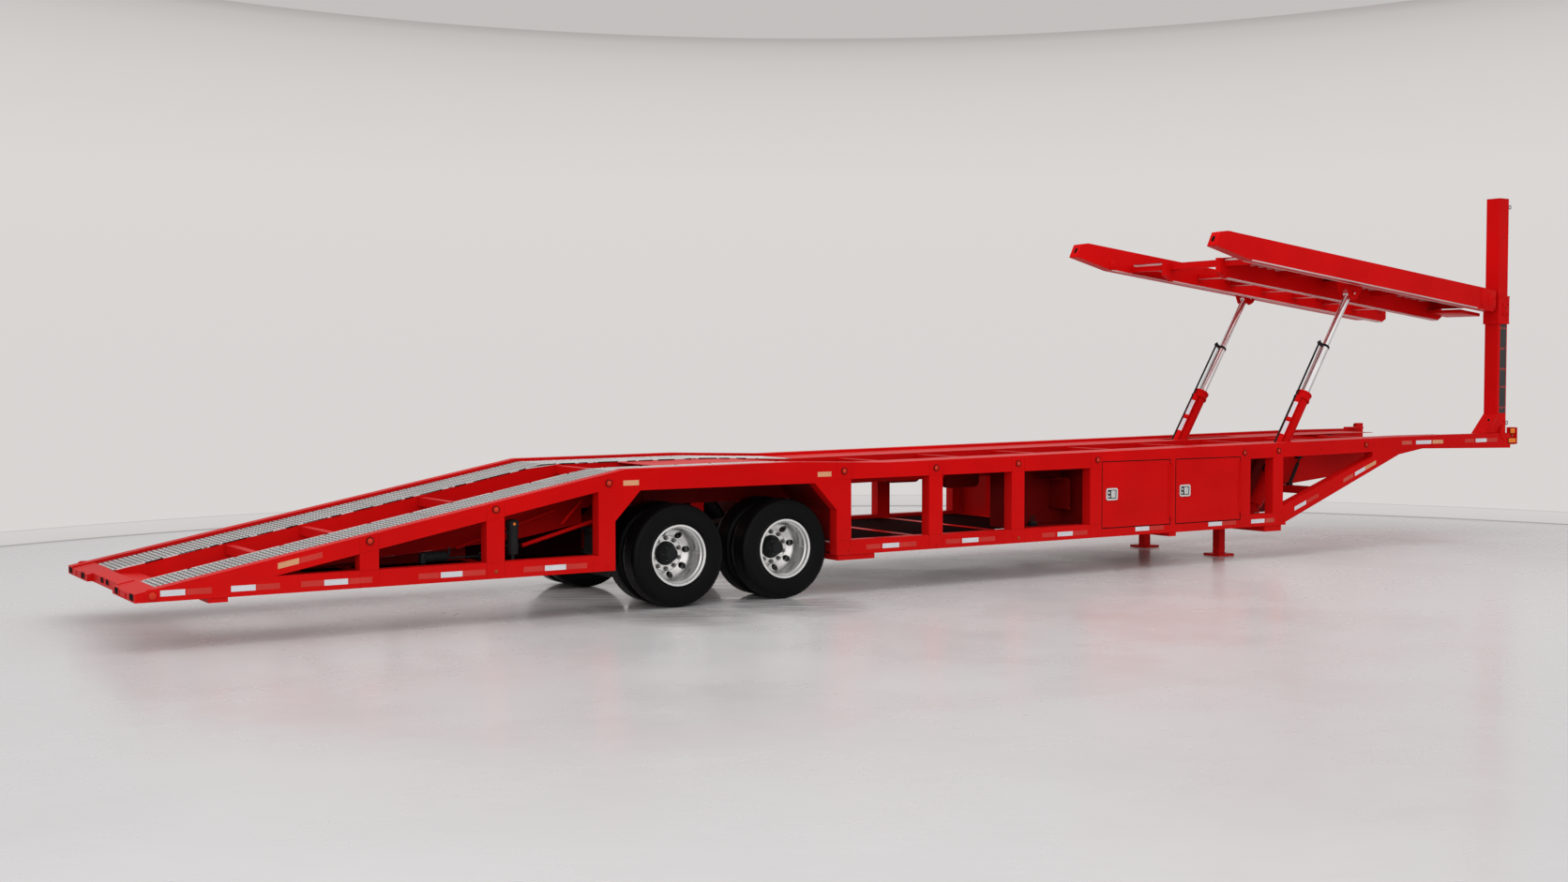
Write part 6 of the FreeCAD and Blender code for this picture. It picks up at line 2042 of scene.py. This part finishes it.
@dataclass
class LiftFittings(Fittings):
    """What the lift cylinders carry: guide bar and tapes, bolted collar, oil tube and seals."""

    lean_deg: float = 32.8
    pin_in: float = 0.086
    stage_top: float = 2.484
    bar: Flat = (0.56, 1.655)
    bar_depth: Flat = (0.085, 0.15)
    bar_turn: float = 27.0
    tube_at: float = 0.118
    head_circle: float = 0.08
    head_bolts: int = 10
    head_seat: float = 1.7688

    def __post_init__(self) -> None:
        """Find the lower pin."""
        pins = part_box("lift_pins")
        self.pin = Vector(((pins[0].x + pins[1].x) / 2, pins[0].y + self.pin_in,
                          (pins[0].z + pins[1].z) / 2))
        self.place = Matrix.Translation(self.pin) @ Matrix.Rotation(radians(self.lean_deg), 4, "Y")

    def build(self) -> None:
        """Make the pieces of barrels and stages."""
        self._guides()
        self._collars()
        self._stage()

    def _placed(self, side: Side, turn_deg: float = 0.0) -> Matrix:
        """The leaning frame of one side's cylinder, turned about its own axis."""
        at = Vector((self.pin.x, side.value * abs(self.pin.y), self.pin.z))
        lean = Matrix.Rotation(radians(self.lean_deg), 4, "Y")
        return Matrix.Translation(at) @ lean @ Matrix.Rotation(radians(turn_deg), 4, "Z")

    def _guides(self) -> None:
        """Square guide bar with its tapes, clamps, and the oil tube's fixed outer tube."""
        look, (near, far), (low, high) = self.look, self.bar_depth, self.bar
        shape, tape, tube = Shape(), Shape(), Shape()
        for side in Side:
            place = self._placed(side, self.bar_turn)
            shape.prism(rounded((-far, -0.03), (-near, 0.03), 0.006, 3), "z", low, high, 0.0, place)
            for z, tall in ((high - 0.014, 0.02), (1.29, 0.03)):
                shape.prism(rounded((-far - 0.004, -0.034), (-near + 0.002, 0.034), 0.008, 3), "z", z,
                            z + tall, 0.002, place)
            for k in range(3):
                z = 0.62 + k * 0.46
                shape.box((-far + 0.004, -0.034, z), (-0.06, 0.034, z + 0.022), 0.003, place)
            for back, front in ((1.085, 1.27), (1.335, 1.56)):
                tape.box((-far - 0.0008, -0.025, back), (-far + 0.001, 0.025, front), 0.0, place)
            straight = self._placed(side)
            at = (-self.tube_at, 0, 0)
            tube.lathe([(low, 0.0125), (low, 0.015), (high, 0.015), (high + 0.004, 0.014),
                       (high + 0.004, 0.0125)], at, "z", 20, place=straight)
            tube.lathe([(high - 0.006, 0.015), (high - 0.006, 0.0195), (high + 0.01, 0.0195),
                       (high + 0.01, 0.0125)], at, "z", 20, place=straight)
        self.shop.put("barrel_guides", shape, look.red, body=Body.BARRELS)
        self.shop.put("barrel_tapes", tape, look.white_tape, body=Body.BARRELS)
        self.shop.put("barrel_tubes", tube, look.casing, body=Body.BARRELS, slot=Slot.BLACK)

    def _collars(self) -> None:
        """Rings, head bolts and wiper at the top of each barrel."""
        look, shape = self.look, Shape()
        shape.lathe([(1.662, 0.0865), (1.662, 0.101), (1.672, 0.103), (1.684, 0.101), (1.684, 0.0865)],
                    (0, 0, 0), "z", 40, place=self.place)
        shape.lathe([(1.742, 0.06), (1.742, 0.1), (1.748, 0.102), (1.76, 0.102), (1.768, 0.099),
                    (1.769, 0.06)], (0, 0, 0), "z", 40, place=self.place)
        self.shop.put("barrel_collars", shape.mirrored(), look.red, body=Body.BARRELS)
        points, facings = [], []
        for side in Side:
            place = self._placed(side)
            for a, b in circle((0.0, 0.0), self.head_circle, self.head_bolts, pi / self.head_bolts):
                points.append(tuple(place @ Vector((a, b, self.head_seat))))
                facings.append(tuple(place.to_euler()))
        bolts = self.repeats.bolts.run(points_host(points, facings), look.steel, Head_Radius=0.0085,
                                       Head_Height=0.009, Washer_Radius=0.0115, Washer_Height=0.002)
        self.shop.put("collar_bolts", bolts, body=Body.BARRELS, slot=Slot.BARE)
        seal = Shape().lathe([(1.768, 0.0585), (1.768, 0.067), (1.776, 0.065), (1.778, 0.0585)], (0, 0, 0),
                             "z", 40, place=self.place)
        self.shop.put("barrel_seals", seal.mirrored(), look.rubber, body=Body.BARRELS, slot=Slot.RUBBER)

    def _stage(self) -> None:
        """Oil tube beside the stage, with the fitting at its head."""
        look = self.look
        low, high = 1.18, self.stage_top - 0.036
        shape = Shape()
        shape.lathe([(low, 0.0), (low, 0.011), (low + 0.004, 0.012), (high, 0.012), (high, 0.0)],
                    (-self.tube_at, 0, 0), "z", 20, place=self.place)
        shape.lathe([(self.stage_top - 0.03, 0.057), (self.stage_top - 0.03, 0.0605),
                    (self.stage_top - 0.004, 0.0605), (self.stage_top, 0.058), (self.stage_top, 0.048),
                    (self.stage_top - 0.002, 0.048)], (0, 0, 0), "z", 40, place=self.place)
        shape.paint = 1
        head = rounded((-self.tube_at - 0.02, -0.02), (-0.056, 0.02), 0.01, 4)
        shape.prism(head, "z", high - 0.006, high + 0.028, 0.004, self.place)
        shape.rod(tuple(self.place @ Vector((-self.tube_at, 0, high + 0.026))),
                  tuple(self.place @ Vector((-self.tube_at, 0, high + 0.046))), 0.011, 6, 0.002)
        self.shop.put("stage_tubes", shape.mirrored(), look.casing, look.casing, body=Body.STAGES,
                      slot=Slot.BLACK)
        seal = Shape().lathe([(self.stage_top - 0.001, 0.044), (self.stage_top - 0.001, 0.052),
                             (self.stage_top + 0.008, 0.05), (self.stage_top + 0.009, 0.044)], (0, 0, 0),
                             "z", 36, place=self.place)
        self.shop.put("stage_seals", seal.mirrored(), look.rubber, body=Body.STAGES, slot=Slot.RUBBER)


# ---- What shows through the side frames' windows ----

@dataclass
class InnerSheets(Fittings):
    """Sheets behind the right-hand frame: red web under the inner rail; arch lining, other webs and belly pan
    in painted shade.
    """

    web_y: float = -0.5775
    lower: tuple[Flat, ...] = ((-3.67, 0.5), (-2.74, 0.584), (-1.34, 0.69), (-0.59, 0.824), (-0.4, 0.95),
                               (2.13, 0.95))
    seams: tuple[float, ...] = (-0.05, 0.62, 1.69)
    arch: tuple[Flat, ...] = ((-0.718, 0.56), (-0.718, 0.868), (-0.45, 1.15), (1.54, 1.15), (1.808, 0.868),
                              (1.808, 0.56))
    pan_z: float = 0.512

    def build(self) -> None:
        """Make the sheets."""
        look, shape = self.look, Shape()
        tops = (-3.67, -0.6, 1.33, 2.13)
        upper = [(self.x(s), self.datum.top(s) - self.datum.lip - 0.03) for s in reversed(tops)]
        web = [(self.x(s), z) for s, z in self.lower[:4]] + upper[-2:]
        shape.prism(web, "y", self.web_y - 0.004, self.web_y)
        # The web over the wheels and its seams are in the darker red: painted shade
        arch = Shape()
        arch.prism([(self.x(s), z) for s, z in self.lower[3:]] + upper[:-1], "y", self.web_y - 0.0039,
                   self.web_y + 0.0001)
        for station in self.seams:
            x = self.x(station)
            arch.box((x, self.web_y - 0.01, 0.952), (x + 0.03, self.web_y - 0.003, 1.14), 0.002)
        # A liner round the wheel arch, its darker red painted shade
        lining = Shape()
        middle = self.x(0.545)
        outer, inner = ([(self.x(s) + t * (1 if self.x(s) < middle else -1),
                        z - (t if z > 1.1 else 0.0)) for s, z in self.arch] for t in (0.001, 0.006))
        frame_in = -self.datum.face + self.datum.frame_depth
        lining.prism([*outer, *reversed(inner)], "y", frame_in - 0.01, self.web_y - 0.006)
        self.shop.put("arch_linings", lining.mirrored(), look.shaded)
        self.shop.put("inner_web", shape, look.red)
        self.shop.put("arch_web", arch, look.shaded)
        # The neck sheet and the slanted bar on it are in the darker red: painted shade in the neck's window
        neck = Shape().box((4.25, self.web_y - 0.004, 0.5), (5.2, self.web_y, 1.21))
        neck.prism([(4.33, 0.56), (4.42, 0.56), (4.84, 1.18), (4.75, 1.18)], "y", self.web_y - 0.04,
                   self.web_y - 0.003, 0.002)
        self.shop.put("neck_web", neck, look.shaded)
        # Near-black panels between the wheels and below the ramp's web, and a pan under the frames: painted
        # shade where the windows show only shadow
        dark = Shape()
        for back, front in ((-0.716, 0.04), (1.64, 2.13)):
            dark.box((self.x(back), self.web_y - 0.004, 0.72), (self.x(front), self.web_y, 0.9495))
        ramp = [(self.x(s), z - 0.0005) for s, z in self.lower[:4]]
        split = (self.x(-1.92), 0.642)
        dark.prism([split, *ramp[2:], (self.x(-0.73), self.pan_z), (split[0], self.pan_z)], "y",
                   self.web_y - 0.004, self.web_y)
        # The skirt below the ramp's web is in the darker red: painted shade
        skirt = Shape().prism([*ramp[:2], split, (split[0], self.pan_z - 0.02),
                              (self.x(-3.67), self.pan_z - 0.07)], "y", self.web_y - 0.004, self.web_y)
        self.shop.put("ramp_skirt", skirt, look.shaded)
        dark.box((self.x(-3.5), -self.datum.face + self.datum.frame_depth + 0.002, self.pan_z),
                 (self.x(-0.73), self.web_y - 0.006, self.pan_z + 0.004))
        inside, bay = self.datum.face - self.datum.frame_depth - 0.002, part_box("bay_panels")
        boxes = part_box("toolbox_left")
        dark.box((self.x(1.9), -inside, self.pan_z), (bay[0].x - 0.004, inside, self.pan_z + 0.004))
        dark.box((bay[0].x - 0.004, bay[1].y + 0.004, self.pan_z),
                 (boxes[0].x - 0.004, inside, self.pan_z + 0.004))
        dark.box((boxes[0].x - 0.004, -0.69, self.pan_z), (boxes[1].x - 0.02, 0.69, self.pan_z + 0.004))
        self.shop.put("painted_shade_pan", dark, look.gloom, slot=Slot.BLACK)


@dataclass
class UnderRampFittings(Fittings):
    """Document tube, ribbed sleeve with its pipe, and the bracing behind the ramp's windows."""

    def build(self) -> None:
        """Make the pieces behind the right-hand frame."""
        look = self.look
        tube = Shape()
        x, y = self.x(-1.695), -1.14
        tube.lathe([(0.598, 0.0), (0.598, 0.044), (0.604, 0.05), (0.64, 0.052), (0.644, 0.056),
                   (0.664, 0.056), (0.668, 0.052), (0.846, 0.052), (0.85, 0.058), (0.9, 0.058),
                   (0.912, 0.052), (0.92, 0.036), (0.922, 0.0)], (x, y, 0), "z", 32)
        tube.box((x - 0.016, y - 0.012, 0.552), (x + 0.016, y + 0.012, 0.602), 0.003)
        for z in (0.672, 0.8):
            tube.box((x - 0.062, y - 0.01, z), (x + 0.062, y + 0.06, z + 0.02), 0.003)
        tube.paint = 1
        tube.lathe([(-0.057, 0.0), (-0.057, 0.013), (-0.063, 0.012), (-0.065, 0.0)], (x - 0.005, y, 0.882),
                   "y", 16)
        self.shop.put("document_tube", tube, look.casing, look.amber_lens, slot=Slot.BLACK)
        brace = Shape()
        brace.rod((self.x(-1.492), -0.9, 0.65), (self.x(-0.761), -0.9, 0.842), 0.019, 16, 0.002)
        brace.rod((self.x(-2.06), -0.7, 0.64), (self.x(-1.06), -0.7, 0.95), 0.016, 16, 0.002)
        brace.prism([(self.x(-0.891), 1.048), (self.x(-0.905), 1.056), (self.x(-1.112), 0.842),
                    (self.x(-1.098), 0.834)], "y", -0.955, -0.915, 0.001)
        self.shop.put("ramp_braces", brace.mirrored(), look.red)
        sleeve = Shape()
        start, end = self.x(-2.5), self.x(-2.277)
        ribs = []
        count = 11
        for k in range(count):
            at = start + (end - start) * k / count
            ribs += [(at, 0.04), (at + 0.0055, 0.047), (at + 0.012, 0.047), (at + 0.016, 0.04)]
        sleeve.lathe([(start, 0.0), *ribs, (end, 0.036), (end, 0.0)], (0, -1.0, 0.606), "x", 24)
        sleeve.hose([(end - 0.01, -1.0, 0.606), (end + 0.018, -1.0, 0.612), (end + 0.026, -1.0, 0.64),
                    (end + 0.026, -1.0, 0.682)], 0.011, 12, 5)
        sleeve.rod((end + 0.01, -1.0, 0.587), (self.x(-1.931), -1.0, 0.587), 0.01, 12, 0.001)
        sleeve.box((start - 0.03, -1.035, 0.552), (start + 0.012, -0.965, 0.645), 0.004)
        sleeve.box((self.x(-1.955), -1.03, 0.552), (self.x(-1.925), -0.97, 0.622), 0.004)
        self.shop.put("ribbed_sleeve", sleeve, look.casing, slot=Slot.BLACK)


@dataclass
class DeckFittings(Fittings):
    """Rounded bracket under the main deck and the lining of the valve bay, in the darker red that paints their
    shade.
    """

    def build(self) -> None:
        """Make the pieces under the deck."""
        look = self.look
        plate = Shape()
        back, front = self.x(3.766), self.x(4.252)
        low, high = 0.982, 1.186
        outline = [(back, high), *circle((back + 0.07, low + 0.07), 0.07, 8, pi, pi / 2),
                   *circle((front - 0.07, low + 0.07), 0.07, 8, 1.5 * pi, pi / 2), (front, high)]
        plate.prism(outline, "y", -0.588, -0.5, 0.003)
        self.shop.put("deck_brackets", plate.mirrored(), look.shaded)
        panel = Shape()
        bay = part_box("bay_panels")
        x, z = bay[1].x - 0.187, bay[0].z
        curve = circle((x - 0.06, z + 0.47), 0.06, 8, 0.0, pi / 2)
        outer = [(x, z + 0.18), *curve, (x - 0.24, z + 0.53)]
        inner = [(px - 0.004, pz - 0.004) for px, pz in reversed(outer)]
        panel.prism([*outer, *inner], "y", -1.12, -0.79)
        panel.box((x - 0.014, -1.124, z + 0.174), (x + 0.002, -0.786, z + 0.19), 0.002)
        self.shop.put("bay_linings", panel, look.shaded)
        valve = Shape()
        vx = bay[0].x + 0.4
        valve.box((vx - 0.04, -1.05, z + 0.006), (vx + 0.04, -0.98, z + 0.052), 0.006)
        for k in range(3):
            valve.rod((vx - 0.026 + k * 0.026, -1.048, z + 0.03),
                      (vx - 0.026 + k * 0.026, -1.072, z + 0.03), 0.008, 12, 0.002)
            valve.rod((vx - 0.026 + k * 0.026, -1.01, z + 0.05), (vx - 0.026 + k * 0.026, -1.025, z + 0.12),
                      0.0055, 10, 0.001)
        self.shop.put("bay_valves", valve, look.casing, slot=Slot.BLACK)


@dataclass
class SpringFittings(Fittings):
    """U-bolts that hold the springs to the axles, and the plates on the leaves."""

    bolt_x: float = 0.0755
    bolt_y: float = 0.047

    def build(self) -> None:
        """Make the bolts round both axles."""
        look, springs, axles = self.look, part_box("leaf_springs"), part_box("axles")
        middle = (springs[0].y + springs[0].y + 0.076) / 2
        z, top = (axles[0].z + axles[1].z) / 2, springs[1].z - 0.07
        shape, reach = Shape(), self.bolt_x
        for row in ("rear", "front"):
            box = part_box(f"tyres_{row}_right")
            x = (box[0].x + box[1].x) / 2
            for dy in (-self.bolt_y, self.bolt_y):
                y = middle + dy
                arc = [(a, y, b) for a, b in circle((x, z), reach, 8, pi, pi)]
                path = [(x - reach, y, top + 0.036), (x - reach, y, z + 0.06), *arc,
                        (x + reach, y, z + 0.06), (x + reach, y, top + 0.036)]
                shape.hose(path, 0.009, 10, 2)
            shape.box((x - 0.1, middle - 0.062, top - 0.002), (x + 0.1, middle + 0.062, top + 0.014), 0.003)
            for a, b in ((x + dx, middle + dy) for dx in (-reach, reach)
                         for dy in (-self.bolt_y, self.bolt_y)):
                shape.rod((a, b, top + 0.014), (a, b, top + 0.03), 0.015, 6, 0.002)
        self.shop.put("spring_bolts", shape.mirrored(), look.black, slot=Slot.BLACK)


# ---- The whole trailer ----

def save_sizes() -> None:
    """Bring the scene's placements up to date."""
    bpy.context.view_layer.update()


def main() -> None:
    """Build the studio, dress the CAD nodes and add every sub-assembly's pieces."""
    logging.basicConfig(level=logging.INFO, format="%(name)s: %(message)s")
    Viewpoint().build()
    Studio().build()
    palette = Palette(Effects())
    Dressing(palette).build()
    shop = Workshop(palette)
    kit = (shop, Datum(), Repeats())
    corners = [(row, side) for row in ("rear", "front") for side in Side]
    for part in (RampTread(*kit), *(WheelSet(*kit, *corner) for corner in corners), SideLamps(*kit),
                 SideTapes(*kit), WeldSeams(*kit), *(DoorLatch(*kit, *corner) for corner in corners),
                 TailFittings(*kit), NoseFittings(*kit), SleeveFittings(*kit), UpperDeckTrim(*kit),
                 LiftFittings(*kit), InnerSheets(*kit), UnderRampFittings(*kit), DeckFittings(*kit),
                 SpringFittings(*kit)):
        part.build()
    save_sizes()
    log.info("%d pieces made", shop.made)


if __name__ == "__main__":
    main()
